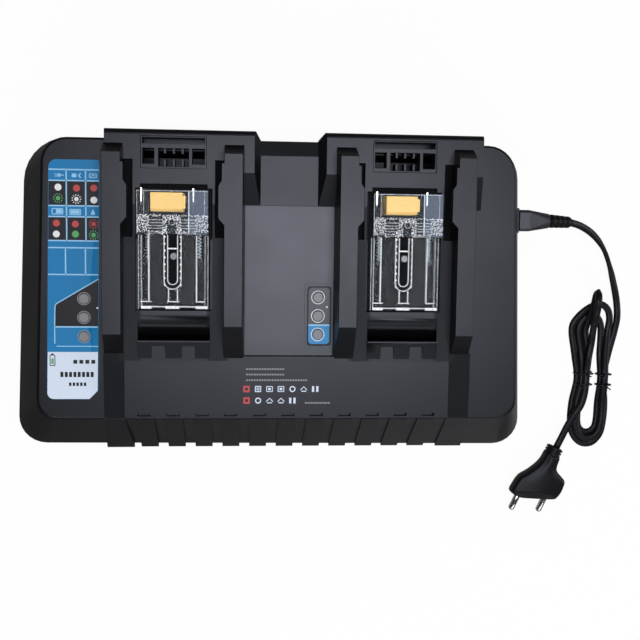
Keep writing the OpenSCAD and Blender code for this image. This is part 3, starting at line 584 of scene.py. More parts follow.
def makeStippleTree():
    # the given form scattered over a grid, each with its own turn and size
    tree, given = newTree("stipple", Wide="Float", Deep="Float", Across="Int", Along="Int", Centre="Vector",
                          Seed="Int", Jitter="Float")
    grid = addForm(tree, "MeshGrid", {"Size X": given["Wide"], "Size Y": given["Deep"],
                                      "Vertices X": given["Across"], "Vertices Y": given["Along"]})

    def draw(kind, limits):
        inputs = {"Seed": given["Seed"], **limits}
        return addNode(tree, "FunctionNodeRandomValue", inputs, data_type=kind).outputs

    low, high = calc(tree, "MULTIPLY", given["Jitter"], -1.0), given["Jitter"]
    shake = draw("FLOAT_VECTOR", {0: joinAxes(tree, low, low), 1: joinAxes(tree, high, high)})[0]
    moved = addForm(tree, "SetPosition", {0: grid, "Offset": shake})
    copies = copyOnto(tree, given, moved, Rotation=draw("FLOAT_VECTOR", {1: (0.25, 0.25, tau)})[0],
                      Scale=draw("FLOAT", {2: 0.45, 3: 1.25})[1])
    return endTree(tree, given, setDown(tree, copies, given["Centre"]))


trees = {"row": makeRowTree(), "ring": makeRingTree(), "coil": makeCoilTree(), "stipple": makeStippleTree()}

def growMesh(name, unit, treeName, matName, **sizes):
    # runs one tree on a mesh and returns the plain mesh it makes
    holder = newObject(name + "Grower", unit)
    growth = modify(holder, "grow", "NODES", node_group=trees[treeName])
    values = {"Finish": mats[matName], **{key.capitalize(): value for key, value in sizes.items()}}
    for item in trees[treeName].interface.items_tree:
        if item.in_out == "INPUT" and item.name in values:
            growth[item.identifier] = values[item.name]
    holder.update_tag()
    mesh = setAll(builtMesh(holder), name=name)
    bpy.data.objects.remove(holder)
    return mesh


def growRow(name, parts, matName, count, step, place):
    mesh = growMesh(name, solidMesh(name + "Unit", parts), "row", matName, count=count, step=metres(*step))
    mesh.transform(Matrix.Translation(metres(*place, 0)))
    return mesh


print("node trees ready:", len(trees))

# the cord: one flat twin lead from the connector, through its hank, to the plug

cordSettings = {
    "width": 0.0046,
    "thick": 0.003,
    "step": 0.002,
    "lowest": 0.00158,
    # the lead turns on edge on its way down: by how much, how far along and over what length
    "onEdge": (75, 0.045, 0.016),
    "leadRoute": [(184.5, 47.2, 31.5), (193, 45.2, 27), (203.5, 40, 21), (212.8, 31.8, 14.5), (219.4, 21.5, 9),
                  (224.6, 8.6, 5), (228.2, -4.4, 2.9), (229.2, -15, 2.4)],
    # each turn of the hank: right and left runs as (x, z) at the stations along Y
    "stations": (-24, -40, -56, -72, -85),
    "rightRuns": [
        [(228, 1.7), (224.2, 1.7), (221.4, 1.7), (222.9, 1.7), (222.4, 1.7)],
        [(223.4, 1.7), (221.4, 4.8), (220.3, 7.9), (220.7, 4.8), (220, 4.8)],
        [(218.8, 1.7), (218.6, 1.7), (218.6, 4.8), (218.3, 1.7), (217.7, 1.7)],
    ],
    "leftRuns": [
        [(198.9, 1.7), (201.4, 1.7), (203.6, 1.7), (200.7, 1.7), (200.1, 1.7)],
        [(203.5, 1.7), (206, 1.7), (206, 4.8), (203, 4.8), (202.4, 4.8)],
        [(208.1, 1.7), (210.6, 1.7), (208.3, 1.7), (205.4, 1.7), (204.7, 1.7)],
    ],
    "bottoms": (-100.5, -96.2, -92.6),
    # over the hank's top to the next run; the last one stands upright, then runs down the hank
    "folds": [
        [(199.6, -19.5, 1.8), (204.3, -13.2, 2), (211.4, -8, 2), (218.2, -6.4, 2), (222.6, -9.6, 1.9),
         (224.3, -15.5, 1.8)],
        [(204.6, -19.2, 1.8), (208.2, -15, 2), (212.4, -13.4, 2), (216.2, -15.6, 2), (218.2, -19.6, 1.8)],
        [(209.2, -18, 3.2), (211, -11, 4.6), (212.4, -4.5, 5.6), (212.6, 0.4, 7.6), (212.2, 2.4, 11),
         (211.6, 1, 14.6), (211, -4, 16.6), (210.8, -10.5, 15), (211, -17, 10.8), (211.4, -24, 7),
         (211.4, -32, 4.9), (209.9, -41, 5.2), (208.2, -50, 7.4), (207.6, -58, 8), (206.9, -66, 7.9)],
    ],
    "tailRoute": [(204.6, -73.4, 8.2), (200.6, -79.6, 8), (196.8, -86.5, 7.2), (193.2, -94.5, 6.6),
                  (189.4, -102.4, 6.5)],
}

def halfTurn(a, b, peak, steps=5):
    # points round a half ellipse from a to b, whose middle reaches the given y
    (x0, y0, z0), (x1, y1, z1) = a, b
    wide, y = (x1 - x0) / 2, (y0 + y1) / 2
    turns = [(i / steps, pi * i / steps) for i in range(1, steps)]
    return [(x0 + wide * (1 - cos(angle)), y + (peak - y) * sin(angle), lerp(z0, z1, t)) for t, angle in turns]


def cordRoute():
    s = cordSettings
    route = list(s["leadRoute"])
    for rightRun, leftRun, bottom, fold in zip(s["rightRuns"], s["leftRuns"], s["bottoms"], s["folds"]):
        right, left = ([(x, y, z) for (x, z), y in zip(run, s["stations"])] for run in (rightRun, leftRun))
        route += right + halfTurn(right[-1], left[-1], bottom) + left[::-1] + fold
    return [Vector(p) * mm for p in route + s["tailRoute"]]


def smoothLine(points, step, pieces=12):
    # a centripetal curve through the points, evenly spaced
    line = []
    ends = [points[0] * 2 - points[1]] + points + [points[-1] * 2 - points[-2]]
    for a, b, c, d in zip(ends, ends[1:], ends[2:], ends[3:]):
        t1 = (b - a).length ** 0.5
        t2 = t1 + (c - b).length ** 0.5
        t3 = t2 + (d - c).length ** 0.5
        for i in range(pieces):
            t = lerp(t1, t2, i / pieces)
            ab = a.lerp(b, t / t1)
            bc = b.lerp(c, (t - t1) / (t2 - t1))
            cd = c.lerp(d, (t - t2) / (t3 - t2))
            abc = ab.lerp(bc, t / t2)
            bcd = bc.lerp(cd, (t - t1) / (t3 - t1))
            line.append(abc.lerp(bcd, (t - t1) / (t2 - t1)))
    line.append(points[-1])
    lengths = [0.0]
    for p, q in zip(line, line[1:]):
        lengths.append(lengths[-1] + (q - p).length)
    count = round(lengths[-1] / step)
    even = []
    j = 0
    for i in range(count + 1):
        want = lengths[-1] * i / count
        while j < len(lengths) - 2 and lengths[j + 1] < want:
            j += 1
        even.append(line[j].lerp(line[j + 1], (want - lengths[j]) / max(lengths[j + 1] - lengths[j], 1e-9)))
    return even, lengths[-1]


def flatProfile(width, thick, steps=5):
    # a flat oval: two half rounds joined by straight sides
    r = thick / 2
    half = width / 2 - r
    return arcPoints(half, 0, r, -90, 90, steps) + arcPoints(-half, 0, r, 90, 270, steps)


def stackFaces(count, n):
    # the closed skin over a stack of equal rings of n points
    last = (count - 1) * n
    faces = [(j * n + k, j * n + (k + 1) % n, (j + 1) * n + (k + 1) % n, (j + 1) * n + k)
             for j in range(count - 1) for k in range(n)]
    return faces + [tuple(reversed(range(n))), tuple(range(last, last + n))]


def sweepAlong(line, profile, twist=None, up=Vector((0, 0, 1))):
    verts = []
    for i, p in enumerate(line):
        ahead = aheadAt(line, i)
        side = ahead.cross(up).normalized()
        rise = side.cross(ahead)
        angle = twist(i / (len(line) - 1)) if twist else 0.0
        a = side * cos(angle) + rise * sin(angle)
        b = rise * cos(angle) - side * sin(angle)
        verts += [p + a * u + b * v for u, v in profile]
    return verts, stackFaces(len(line), len(profile))


def makeCord(companions):
    s = cordSettings
    line, length = smoothLine(cordRoute(), s["step"])
    for p in line:
        p.z = max(p.z, s["lowest"])
    most, middle, spread = s["onEdge"]

    def twist(t):
        return radians(most) * exp(-((t * length - middle) / spread) ** 2)

    verts, faces = sweepAlong(line, flatProfile(s["width"], s["thick"]), twist)
    mesh = meshFrom("mainsCord", verts, faces)
    fixNormals(mesh)
    cord = newPiece("mainsCord", mesh, "charger", "cordRubber",
                    ["cord_lead", "cord_hank", "cord_tail"])
    print("cord length", round(length, 3))


plugSettings = {
    "place": (188.9, -101.6, 6.5),
    "turn": 245,
    "half": 6.5,
    "edge": 5.4,  # the dome starts at this height
    "drawnIn": 2.7,
    "sideSteps": 12,
    "squareness": 0.8,
    "domeSteps": 5,
    # the line that the domes close on: its slope, where it starts and its two ends
    "spine": (0.03, 6, 9, 32),
    "outline": [(5.8, -5.3), (10.9, -5.5), (14.8, -6.7), (18.8, -8.6), (22.6, -10.8), (25.8, -13.4), (28.9, -14.7),
                (33.5, -15.3), (38.4, -15.6), (39.9, -14.7), (40.9, -10.4), (40.8, -6.7), (37.5, 1.8), (34.2, 10.3),
                (32.3, 14.6), (30.8, 15.7), (26.7, 16.9), (22, 16.7), (18.3, 16.1), (17, 14.4), (14.2, 7.4),
                (11.1, 6.2), (5.8, 5.7)],
}

def smoothOutline(points, rounds):
    # corner cutting on an open line, whose first and last points are kept
    for _ in range(rounds):
        cut = [(lerp(p[0], q[0], t), lerp(p[1], q[1], t)) for p, q in zip(points, points[1:]) for t in (0.25, 0.75)]
        points = [points[0]] + cut + [points[-1]]
    return points


def makePlug():
    # a soft, pillow-shaped body: the outline drawn in towards its domed top and bottom
    s = plugSettings
    outline = smoothOutline(s["outline"], 2)
    slope, origin, near, far = s["spine"]
    place = Matrix.Translation(Vector(s["place"])) @ Matrix.Rotation(radians(s["turn"]), 4, "Z")
    # each level as its height, how far it is drawn in and how far it has closed on the spine
    levels = []
    for j in range(s["sideSteps"] + 1):
        angle = pi * (j / s["sideSteps"] - 0.5)
        height = s["edge"] * copysign(abs(sin(angle)) ** s["squareness"], sin(angle))
        levels.append((height, s["drawnIn"] * (1 - cos(angle)), 0))
    steps = s["domeSteps"]
    dome = [(lerp(s["edge"], s["half"], sin(k / steps * pi / 2)), s["drawnIn"], k / steps)
            for k in range(1, steps)]
    levels = [(-h, i, t) for h, i, t in reversed(dome)] + levels + dome
    points = []
    for height, inset, closed in levels:
        for i, (x, y) in enumerate(outline):
            ahead = aheadAt(outline, i)
            inward = (-ahead.y, ahead.x)
            if i in (0, len(outline) - 1):
                inward = (0, 1 if i == 0 else -1)
            px, py = x + inward[0] * inset, y + inward[1] * inset
            spineX = min(max(px, near), far)
            spot = Vector((lerp(px, spineX, closed), lerp(py, slope * (spineX - origin), closed), height))
            points.append(place @ spot * mm)
    mesh = meshFrom("plugShell", points, stackFaces(len(levels), len(outline)))
    fixNormals(mesh)
    return newPiece("plugShell", mesh, "charger", "cordRubber", ["plug_body"])


tieSettings = {
    "wire": 0.45,
    "sides": 6,
    "step": 0.9,
    "corner": 1.5,
    "foot": (1, 2.4),  # levels of the ring's foot and of its lower bends
    "rise": 0.25,  # how far the wire moves along Y in one turn
    # each loop's two sides along X, top level, y, and how far its ends stand out
    "loops": [((200.7, 212), 10.2, -52.3, (3.5, 2.4)), ((215.7, 224.5), 10, -52.8, (-3, 2.8)),
              ((200.9, 211.4), 10.2, -59.5, (-3.5, -2.2)), ((215.7, 224.3), 10, -59.8, (3.2, -2.6))],
}

def makeTie():
    # wire twisted round each bundle of the hank, with its short ends left out
    s = tieSettings
    wire = circlePoints(0, 0, s["wire"], s["sides"])
    corner, (foot, bend) = s["corner"], s["foot"]
    parts = []
    for (x0, x1), top, y, (aside, along) in s["loops"]:
        mid = (x0 + x1) / 2
        ring = [(mid, top), (x0 + corner, top), (x0, top - corner), (x0, bend), (x0 + 1.4, foot), (x1 - 1.4, foot),
                (x1, bend), (x1, top - corner), (x1 - corner, top), (mid, top + 0.5)]
        line = [Vector((mid + aside, y + along, top + 1.6)), Vector((mid + aside / 2, y + along / 2, top + 1.2))]
        line += [Vector((a, y + s["rise"] * i / len(ring), b)) for i, (a, b) in enumerate(ring)]
        line += [Vector((mid + aside / 2, y - along / 3, top + 1.4)), Vector((mid + aside, y - along / 2, top + 2))]
        line = smoothLine(line, s["step"])[0]
        for p in line:
            p.z = max(p.z, s["wire"] + 0.1)
        parts.append(sweepAlong(line, wire, up=Vector((0.05, 1, 0.08))))
    mesh = solidMesh("twistTie", parts, smooth=True)
    fixNormals(mesh)
    return newPiece("twistTie", mesh, "charger", "mouldedBlack", ["hank_tie"])


makeCord([makePlug(), makeTie()])
print("cord, plug and tie ready")

# print on the status label and on the middle panel

labelSettings = {
    "level": 64.8,
    "layers": ((-0.03, 0.03), (0, 0.05), (0.01, 0.08)),  # foot and top of each layer of print, from the level
    # each side's x at the middle, and how far the print stays inside it
    "left": (-131.4, 0.25),
    "right": (-102.6, -0.25),
    "flare": 0.00012,
    "line": 0.75,
    "lines": (72.5, 66.3, 52.1, 45.9, 32.3, 28.3, 13),
    "darkRows": ((52.1, 66.3), (32.3, 45.9)),
    "columns": (((-120.3, -109.5), (32.3, 72.5)), ((-121.1, -109.9), (13, 28.3))),
    # the dark wedge's foot and shoulder on the left, and its head on the right
    "wedge": ((-127.6, -17.1), (-127.3, -4.4), 10.5),
    "boxFoot": -28.3,
    "thinLine": (0.6, 0.4, 0.25),
    "pale": (-59, -31.6),
    "paleCorner": 3.6,
    "paleCut": (4.6, 4.75),
    "lenses": [(-111, -0.8), (-111, -11.6), (-111, -22.7)],
    "window": 3.1,
    "lensRing": (3.34, 3.78, 28),
    # plain pictograms
    "pictograms": [
        ("disc", -124.3, 69.3, 1.1, 12), ("box", (-126.9, -124.6), (69.7, 70.1)),
        ("box", (-126.9, -124.6), (68.5, 68.9)), ("stroke", [(-123.6, 69.3), (-121.6, 69.3)], 0.5),
        ("box", (-117.2, -114.6), (68.2, 70.3)), ("stroke", [(-112.2, 70.4), (-113.4, 69.2), (-112.2, 68)], 0.8),
        ("frame", (-107.6, -103), (67.9, 70.5), 0.45, 0.6),
        ("stroke", [(-106.6, 68.8), (-105, 69.6), (-103.9, 68.9)], 0.5),
        ("frame", (-128.6, -122.1), (47.1, 50.7), 0.5, 0.7), ("box", (-126.2, -122.9), (47.8, 50)),
        ("frame", (-118.7, -112.2), (46.8, 50.3), 0.5, 0.6), ("box", (-118, -113), (47.6, 49.6)),
        ("prism", [(-106.7, 47.2), (-104.3, 47.2), (-104.5, 48.4), (-105.5, 50.3), (-106.5, 48.4)]),
    ],
    # an upright cell, then four blocks
    "battery": [("frame", (-130.6, -127.4), (-39.8, -33.2), 0.45, 0.7), ("box", (-129.7, -128.3), (-33.2, -32.6))]
               + [("box", (x, x + 2.2), (-38.4, -36.2)) for x in (-117.2, -113.8, -110.4, -107)],
    # rows of plain cells: width, height, number, step and place
    "gauges": [(1.7, 3, 8, 2.45, (-124.6, -46.2)), (1.4, 2, 5, 2.1, (-119.8, -51.4))],
    # each ink's discs, discs with rays and other marks
    "signs": {
        "White": ([(-124.9, 62.5), (-104.9, 55.5), (-126.1, 36)], [(-114.7, 55.9)],
                  [("disc", -103.4, -6.1, 0.55, 12)]),
        "Red": ([(-114.6, 62.1), (-104.9, 62.3), (-126, 42.2), (-115.4, 41.8)], [(-105.1, 41.9)], []),
        "Green": ([(-115.4, 36.1)], [(-125, 56.3), (-105.2, 35.7)], [("box", (-129.7, -128.3), (-38.6, -35.4))]),
    },
    "discSize": (1.95, 20),  # radius and sides
    "burstSize": (1.25, 14),
    "burstTick": ((1.95, 2.75), (-0.25, 0.25)),
    "burstTicks": 11,
}
panelSettings = {
    "level": 64.5,
    "x": (17.65, 31.55),
    "y": (-27.25, 7.45),
    "layers": ((-0.03, 0.03), (-0.03, 0.09), (0, 0.06)),  # the dark field, its edge line and the marks
    "edge": 0.75,
    "corners": (1.5, 1.6, 2.1),  # of the dark field, and of the edge line outside and inside
    "darkFoot": -15.3,
    "lineHalf": 0.45,
    "lenses": [(23.9, 1), (23.9, -9.9), (23.9, -20.8)],
    "window": 3.1,
    "lensRing": (3.56, 4, 28),
    "dot": ("disc", 29.2, -4.6, 0.6, 12),
}

def printPiece(name, parts, ink, grown=()):
    mesh = joinMeshes(name, [solidMesh(name, parts), *grown]) if grown else solidMesh(name, parts)
    return newPiece(name, mesh, "charger", ink)


def layersOf(s):
    return ((s["level"] + foot, s["level"] + top) for foot, top in s["layers"])


def sideOf(name, y):
    x, inward = labelSettings[name]
    return x * (1 - labelSettings["flare"] * y) + inward


def bandPart(y0, y1, z):
    corners = (("left", y0), ("right", y0), ("right", y1), ("left", y1))
    return prismPart([(sideOf(name, y), y) for name, y in corners], z)


def lensRings(s, z):
    return flatParts([("ring", *lens, *s["lensRing"]) for lens in s["lenses"]], z)


def cutWindows(piece, s):
    # round windows in a flat print, for the lenses
    holes = flatParts([("disc", *lens, s["window"], 32) for lens in s["lenses"]], (60, 70))
    cutter = newObject("windows", solidMesh("windows", holes))
    modify(piece, "windows", "BOOLEAN", operation="DIFFERENCE", object=cutter)
    mesh = builtMesh(piece)
    piece.modifiers.clear()
    piece.data = mesh
    bpy.data.objects.remove(cutter)


def makeLabelPrint():
    s = labelSettings
    low, mid, high = layersOf(s)
    (x0, y0), (x1, y1), y2 = s["wedge"]
    right, head = sideOf("right", y0), sideOf("right", y2)
    wedge = [(x0, y0), (right, y0), (head, y2 - 0.4), (x1 + 0.6, y1 + 0.5), (x1, y1 - 0.6)]
    dark = [bandPart(a, b, low) for a, b in s["darkRows"]] + [prismPart(wedge, low)]
    cutWindows(printPiece("labelDark", dark, "inkDark"), s)

    (foot, top), corner, (aside, up) = s["pale"], s["paleCorner"], s["paleCut"]
    pale = arcPoints(sideOf("left", foot) + corner, foot + corner, corner, 180, 270, 6)
    pale += [(sideOf("right", foot) - aside, foot), (sideOf("right", foot), foot + up),
             (sideOf("right", top), top), (sideOf("left", top), top)]
    printPiece("labelPale", [prismPart(pale, low)], "inkPale")

    half = s["line"] / 2
    sky = [bandPart(y - half, y + half, mid) for y in s["lines"]]
    for xs, ys in s["columns"]:
        sky += [boxPart((x - half, x + half), ys, mid) for x in xs]
    boxFoot, (stroke, thick, thin) = s["boxFoot"], s["thinLine"]
    border = [(x0, boxFoot + 1.5), (x0, y0), (x1, y1 - 0.6), (x1 + 0.7, y1 + 0.6), (head, y2)]
    sky += [strokePart(border, stroke, mid), boxPart((x0, right), (y0 - thick, y0 + thick), mid),
            boxPart((x0 + 1, right), (boxFoot - thin, boxFoot + thin), mid)]
    printPiece("labelLines", sky + flatParts(s["pictograms"], mid), "inkSky")
    printPiece("labelRings", lensRings(s, mid), "inkGrey")
    printPiece("labelBattery", flatParts(s["battery"], high), "inkDark")
    gauges = [growRow("gauge", [boxPart((0, wide), (0, tall), mid)], "inkDark", count, (step, 0, 0), place)
              for wide, tall, count, step, place in s["gauges"]]
    printPiece("labelGauges", [], "inkDark", grown=gauges)

    tick = solidMesh("burstTick", [boxPart(*s["burstTick"], (s["level"], high[1]))])
    for ink, (discs, bursts, others) in s["signs"].items():
        marks = [("disc", *place, *s["discSize"]) for place in discs]
        marks += [("disc", *place, *s["burstSize"]) for place in bursts] + others
        ticks = [growMesh("burst", tick, "ring", "ink" + ink, count=s["burstTicks"], centre=metres(*place, 0))
                 for place in bursts]
        printPiece("label" + ink + "Marks", flatParts(marks, high), "ink" + ink, grown=ticks)


def makePanelPrint():
    s = panelSettings
    low, rim, high = layersOf(s)
    (x0, x1), (y0, y1), darkFoot, wide = s["x"], s["y"], s["darkFoot"], s["edge"]
    corner, outside, inside = s["corners"]
    outline = [(x0, darkFoot), (x1, darkFoot)] + arcPoints(x1 - corner, y1 - corner, corner, 0, 90, 5)
    outline += arcPoints(x0 + corner, y1 - corner, corner, 90, 180, 5)
    cutWindows(printPiece("panelDark", [prismPart(outline, low)], "platePlastic"), s)
    inner = frameOutline((x0 + wide, x1 - wide), (y0 + wide, y1 - wide), inside)
    printPiece("panelEdge", [loopPart(frameOutline((x0, x1), (y0, y1), outside), inner, rim)], "inkDark")
    printPiece("panelLine", [boxPart((x0, x1), (darkFoot - s["lineHalf"], darkFoot + s["lineHalf"]), high)], "inkSky")
    printPiece("panelMarks", lensRings(s, high) + flatParts([s["dot"]], high), "inkWhite")


makeLabelPrint()
makePanelPrint()
print("label and panel print ready")

# plain marks on the front strip, standing for its small print

stripSettings = {
    "z": (69.48, 69.55),
    # lines of dashes: their y, first x and last x
    "bars": [(-40.7, -17.9, 4.4), (-43.9, -17.9, 5.3), (-47.2, -17.9, 17.7), (-60.6, 16.6, 31.3)],
    "dash": ((0, 1.1), (-0.45, 0.45)),
    "dashStep": 1.5,
    "forms": {
        "grid": [("frame", (-1.8, 1.8), (-1.8, 1.8), 0.6, 0.3), ("box", (-1.3, 1.3), (-0.25, 0.25)),
                 ("box", (-0.25, 0.25), (-1.3, 1.3))],
        "frame": [("frame", (-1.9, 1.9), (-1.7, 1.7), 0.45, 0.3), ("box", (-0.8, 0.8), (-0.7, 0.7))],
        "ring": [("ring", 0, 0, 1.1, 1.8, 18)],
        "tent": [("stroke", [(-1.9, -0.6), (0, 1.4), (1.9, -0.6)], 0.55), ("box", (-1.4, 1.4), (-1.6, -1))],
        "pair": [("box", (-1.9, -0.6), (-1.7, 1.7)), ("box", (0.6, 1.9), (-1.7, 1.7))],
    },
    # runs of like marks: the first one's place, their number and form
    "runs": [((-10.9, -52.4), 1, "grid"), ((-4.2, -52.4), 2, "frame"), ((9.2, -52.4), 1, "ring"),
             ((15.8, -52.4), 1, "tent"), ((22.5, -52.4), 1, "pair"), ((-10.8, -59.2), 1, "ring"),
             ((-4.1, -59.2), 2, "tent"), ((9.2, -59.2), 1, "pair")],
    "runStep": 6.67,
    "red": [(-17.6, -52.4), (-17.5, -59.2)],
    "redFrame": (1.9, 1.05, 0.4),  # half its side, the line's width and the corner
}

def makeStripMarks():
    s = stripSettings
    z, step = s["z"], s["dashStep"]
    dashes = [growRow("dashes", [boxPart(*s["dash"], z)], "inkGrey", round((x1 - x0) / step), (step, 0, 0), (x0, y))
              for y, x0, x1 in s["bars"]]
    printPiece("stripDashes", [], "inkGrey", dashes)
    marks = [growRow("marks", flatParts(s["forms"][form], z), "inkPale", count, (s["runStep"], 0, 0), place)
             for place, count, form in s["runs"]]
    printPiece("stripMarks", [], "inkPale", marks)
    half, wide, corner = s["redFrame"]
    red = [framePart((x - half, x + half), (y - half, y + half), wide, corner, z) for x, y in s["red"]]
    printPiece("stripRed", red, "inkRed")


makeStripMarks()
print("front strip marks ready")

# the clear covers' ribs, feet, textured band and springs; ribs, feet, lines and specks are laid on the clear plastic
# in pale colours, painted highlights where it catches the light

coverSettings = {
    "flat": 74,
    "roof": 83.5,
    "proud": 0.04,
    # bars as y from, y to, foot level, how far they stop short of the top, then each one's two ends along X
    "ribs": [(-1, 36.2, 70.5, 0, (-14.2, -13.6), (12.7, 13.3)), (-1, 5.6, 72.5, 0, (-3, -2.5), (2, 2.5))],
    "feet": [(-1.7, -1.2, 72.9, 0, (-18.3, -12.3), (-3.6, 3.4), (12.6, 17.8)),
             (-5.5, -4, 73, 0, (-18.2, -12.3), (-4.5, 3.4), (12.5, 19.3)),
             (-4.6, -4.1, 73.3, 0.02, (-18.3, 19.3)), (28.3, 29.1, 73.2, 0, (-3.1, 1.8))],
    "roofRib": [(38, 60.6, 82.9, 0, (8.9, 9.25))],
    # thin bars along the walls and the roof's edges: painted highlight lines
    "edges": [(-5.5, 36.2, 73.4, 0, (-19.7, -19.3), (19.3, 19.7)),
              (-4.2, 36.2, 70.5, 0, (-18.3, -17.8), (17.6, 18))],
    "roofHighlights": [(37, 61.2, 82.9, 0, (-19.7, -19.4)), (47.5, 61.2, 82.9, 0, (17.6, 17.9)),
                  (47.5, 61, 82.9, 0, (-15.9, -15.6)), (60.6, 61, 83, 0.02, (-19.1, 19.3))],
    "louvres": [(y, y + 0.5, 83.1, 0, (-12.9, -5.1), (4.1, 12.7)) for y in (39.8, 41.3, 42.9, 44.6)],
    "eye": (-0.2, 43.8, 1.5, 2, 16),
    # the slot's wall: its two turns as half width and foot, where it ends at the back, its width and foot level
    "slotMiddle": -0.5,
    "slotTurns": ((4.8, 5.6), (2.8, 8.2)),
    "slotBack": 36.2,
    "slotWall": (0.4, 72.4),
    # beads along the wall, in the painted glint colour: their x, first y, step, number, radius, sides and foot level
    "beads": ((-4.9, 4.1), 8, 3.9, 9, 0.55, 8, 73.6),
    # stippled places of the roof's textured band, its specks painted glints, as middle, size and number each way
    "clusters": [(-16.1, 42.7, 6, 8.4, 8, 13), (16.2, 42.7, 6, 8.6, 8, 13), (-4.3, 41.6, 1.8, 8.8, 3, 13),
                 (3.3, 41.6, 1.8, 8.8, 3, 13), (-0.5, 46, 6.6, 1.4, 8, 3), (0, 47.2, 38, 0.3, 52, 1),
                 (-9.4, 37.7, 8, 1, 11, 2), (8.2, 37.7, 8.4, 1, 11, 2)],
    "sliver": ([(-0.6, -0.2, -0.05), (0.6, -0.17, -0.05), (0.05, 0.27, -0.05), (0, 0, 0.03)],
               [(0, 2, 1), (0, 1, 3), (1, 2, 3), (2, 0, 3)]),
    "sliverLevel": 83.58,
    "firstSeed": 3,
    "jitter": 0.0004,
}

def barParts(bars, top):
    return [boxPart(x, (y0, y1), (foot, top - short)) for y0, y1, foot, short, *xs in bars for x in xs]


def makeCoverDetails(side, x):
    s = coverSettings
    top, roof = s["flat"] + s["proud"], s["roof"] + s["proud"]

    def coverPiece(name, mesh, matName):
        newPiece(name + side, mesh, side + "_cover", matName)

    # ribs, feet and the slot's wall in the bright painted highlight colour
    bright = barParts(s["ribs"], top)
    middle, back, (wall, wallFoot) = s["slotMiddle"], s["slotBack"], s["slotWall"]
    for wide, foot in s["slotTurns"]:
        # open at the back, where the wall runs into the roof
        turn = arcPoints(middle, foot + wide, wide, 180, 360, 12)
        bright.append(strokePart([(middle - wide, back)] + turn + [(middle + wide, back)], wall, (wallFoot, top)))
    bright += barParts(s["feet"], top) + barParts(s["roofRib"], roof)
    coverPiece("coverRibs_", solidMesh("coverRibs_" + side, bright, (x, 0, 0)), "clearHighlight")
    # painted highlight lines along the walls, the roof's edges, the louvres and the eye
    faint = barParts(s["edges"], top) + barParts(s["roofHighlights"] + s["louvres"], roof)
    faint.append(ringPart(*s["eye"], (83.1, roof)))
    coverPiece("coverHighlightLines_", solidMesh("coverHighlightLines_" + side, faint, (x, 0, 0)), "clearFaintHighlight")

    # beads along the slot's wall, then the stippled clusters of the roof, all in the painted glint colour
    places, first, step, count, radius, sides, beadFoot = s["beads"]
    bead = [discPart(0, 0, radius, sides, (beadFoot, top + 0.02))]
    meshes = [growRow("beads", bead, "clearSparkleHighlight", count, (0, step, 0), (x + aside, first)) for aside in places]
    sliver = solidMesh("sliver", [s["sliver"]])
    for seed, (cx, cy, wide, deep, across, along) in enumerate(s["clusters"], s["firstSeed"]):
        meshes.append(growMesh("stipple", sliver, "stipple", "clearSparkleHighlight", wide=wide * mm, deep=deep * mm,
                               across=across, along=along, centre=metres(x + cx, cy, s["sliverLevel"]),
                               seed=seed, jitter=s["jitter"]))
    coverPiece("coverTexture_", joinMeshes("coverTexture_" + side, meshes), "clearSparkleHighlight")


springSettings = {
    "coil": {"turns": 7.5, "radius": 0.00105, "length": 0.0139, "wire": 0.0003},
    "aside": (-14.7, 14.7),
    "from": 23,
    "level": 70,
}

def makeSprings(side, x):
    s = springSettings
    start, end = s["from"], s["from"] + s["coil"]["length"] / mm
    seed = solidMesh("coilSeed", [boxPart((0, 1), (0, 1), (0, 1))])
    coils = [growMesh("coil", seed, "coil", "springSteel", **s["coil"], start=metres(x + aside, start, s["level"]))
             for aside in s["aside"]]
    mesh = joinMeshes("springs_" + side, coils)
    fixNormals(mesh)
    mesh.materials.append(mats["springSteel"])
    springs = newObject("springs_" + side, mesh)
    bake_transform(springs)
    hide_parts("cover_springs_" + side)


for side, x in bays.items():
    makeCoverDetails(side, x)
    makeSprings(side, x)
print("cover details and springs ready")

# the CAD nodes' own finish: for each material its nodes, with their bevels in mm

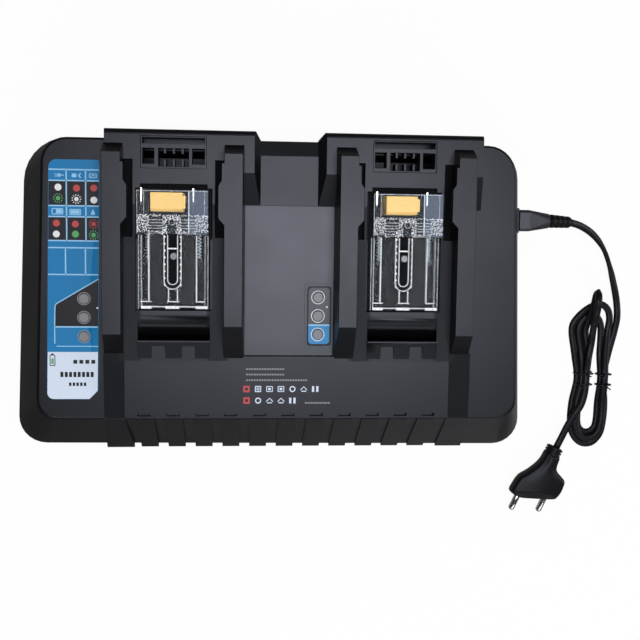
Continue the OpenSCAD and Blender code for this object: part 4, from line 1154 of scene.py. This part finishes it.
nodeLooks = {
    "casePlastic": {"lower_case": 0.5, "upper_case": 0.4, "battery_rails_left": 0.4, "battery_rails_right": 0.4},
    "platePlastic": {"middle_plate": 0.2},
    "filmBright": {"indicator_panel": 0.1},
    "filmBlue": {"status_label": 0},
    "lensPlastic": {"status_lenses_left": 0.4, "status_lenses_middle": 0.4},
    "grillePlastic": {"vent_grille_left": 0.25, "vent_grille_right": 0.25},
    "clear_left": {"clear_cover_left": 0.3},
    "clear_right": {"clear_cover_right": 0.3},
    "yellowPlastic": {"terminal_block_left": 0.3, "terminal_block_right": 0.3},
    "contactMetal": {"terminal_blades_left": 0.1, "terminal_blades_right": 0.1},
    "dullSteel": {"guide_screw_left": 0.1, "guide_screw_right": 0.1},
    "platedSteel": {"case_screws": 0.3, "board_screws": 0.2},
    "footRubber": {"rubber_feet": 0.4},
    "circuitBoard": {"main_board": 0, "indicator_board_left": 0, "indicator_board_middle": 0,
                     "terminal_board_left": 0, "terminal_board_right": 0},
    "coreFerrite": {"transformer_core": 0.4},
    "windingCopper": {"transformer_winding": 0.6, "mains_choke": 0},
    "capacitorSleeve": {"storage_capacitors": 0.6},
    "sinkAluminium": {"heat_sink": 0.2},
    "mouldedBlack": {"power_transistors": 0.3, "buzzer": 0.3, "fan_frame": 0.4, "fan_rotor": 0.2, "power_inlet": 0.2},
    "connectorRubber": {"cord_connector": 0.5},
    "cordRubber": {"cord_relief": 0.2, "plug_relief": 0.3},
    "pinMetal": {"plug_pins": 0},
}
finishSettings = {"weld": 0.000005, "flat": 0.6, "sharp": 28, "segments": 2}

def finishNode(node, mat, bevel):
    s = finishSettings
    node.data.materials.clear()
    node.data.materials.append(mat)
    modify(node, "weld", "WELD", merge_threshold=s["weld"])
    modify(node, "flat", "DECIMATE", decimate_type="DISSOLVE", angle_limit=radians(s["flat"]))
    if bevel:
        modify(node, "edge", "BEVEL", width=bevel * mm, segments=s["segments"], limit_method="ANGLE",
               angle_limit=radians(s["sharp"]), harden_normals=True, use_clamp_overlap=True)


for matName, bevels in nodeLooks.items():
    for name, bevel in bevels.items():
        finishNode(nodes[name], mats[matName], bevel)
print("nodes finished:", sum(len(bevels) for bevels in nodeLooks.values()))
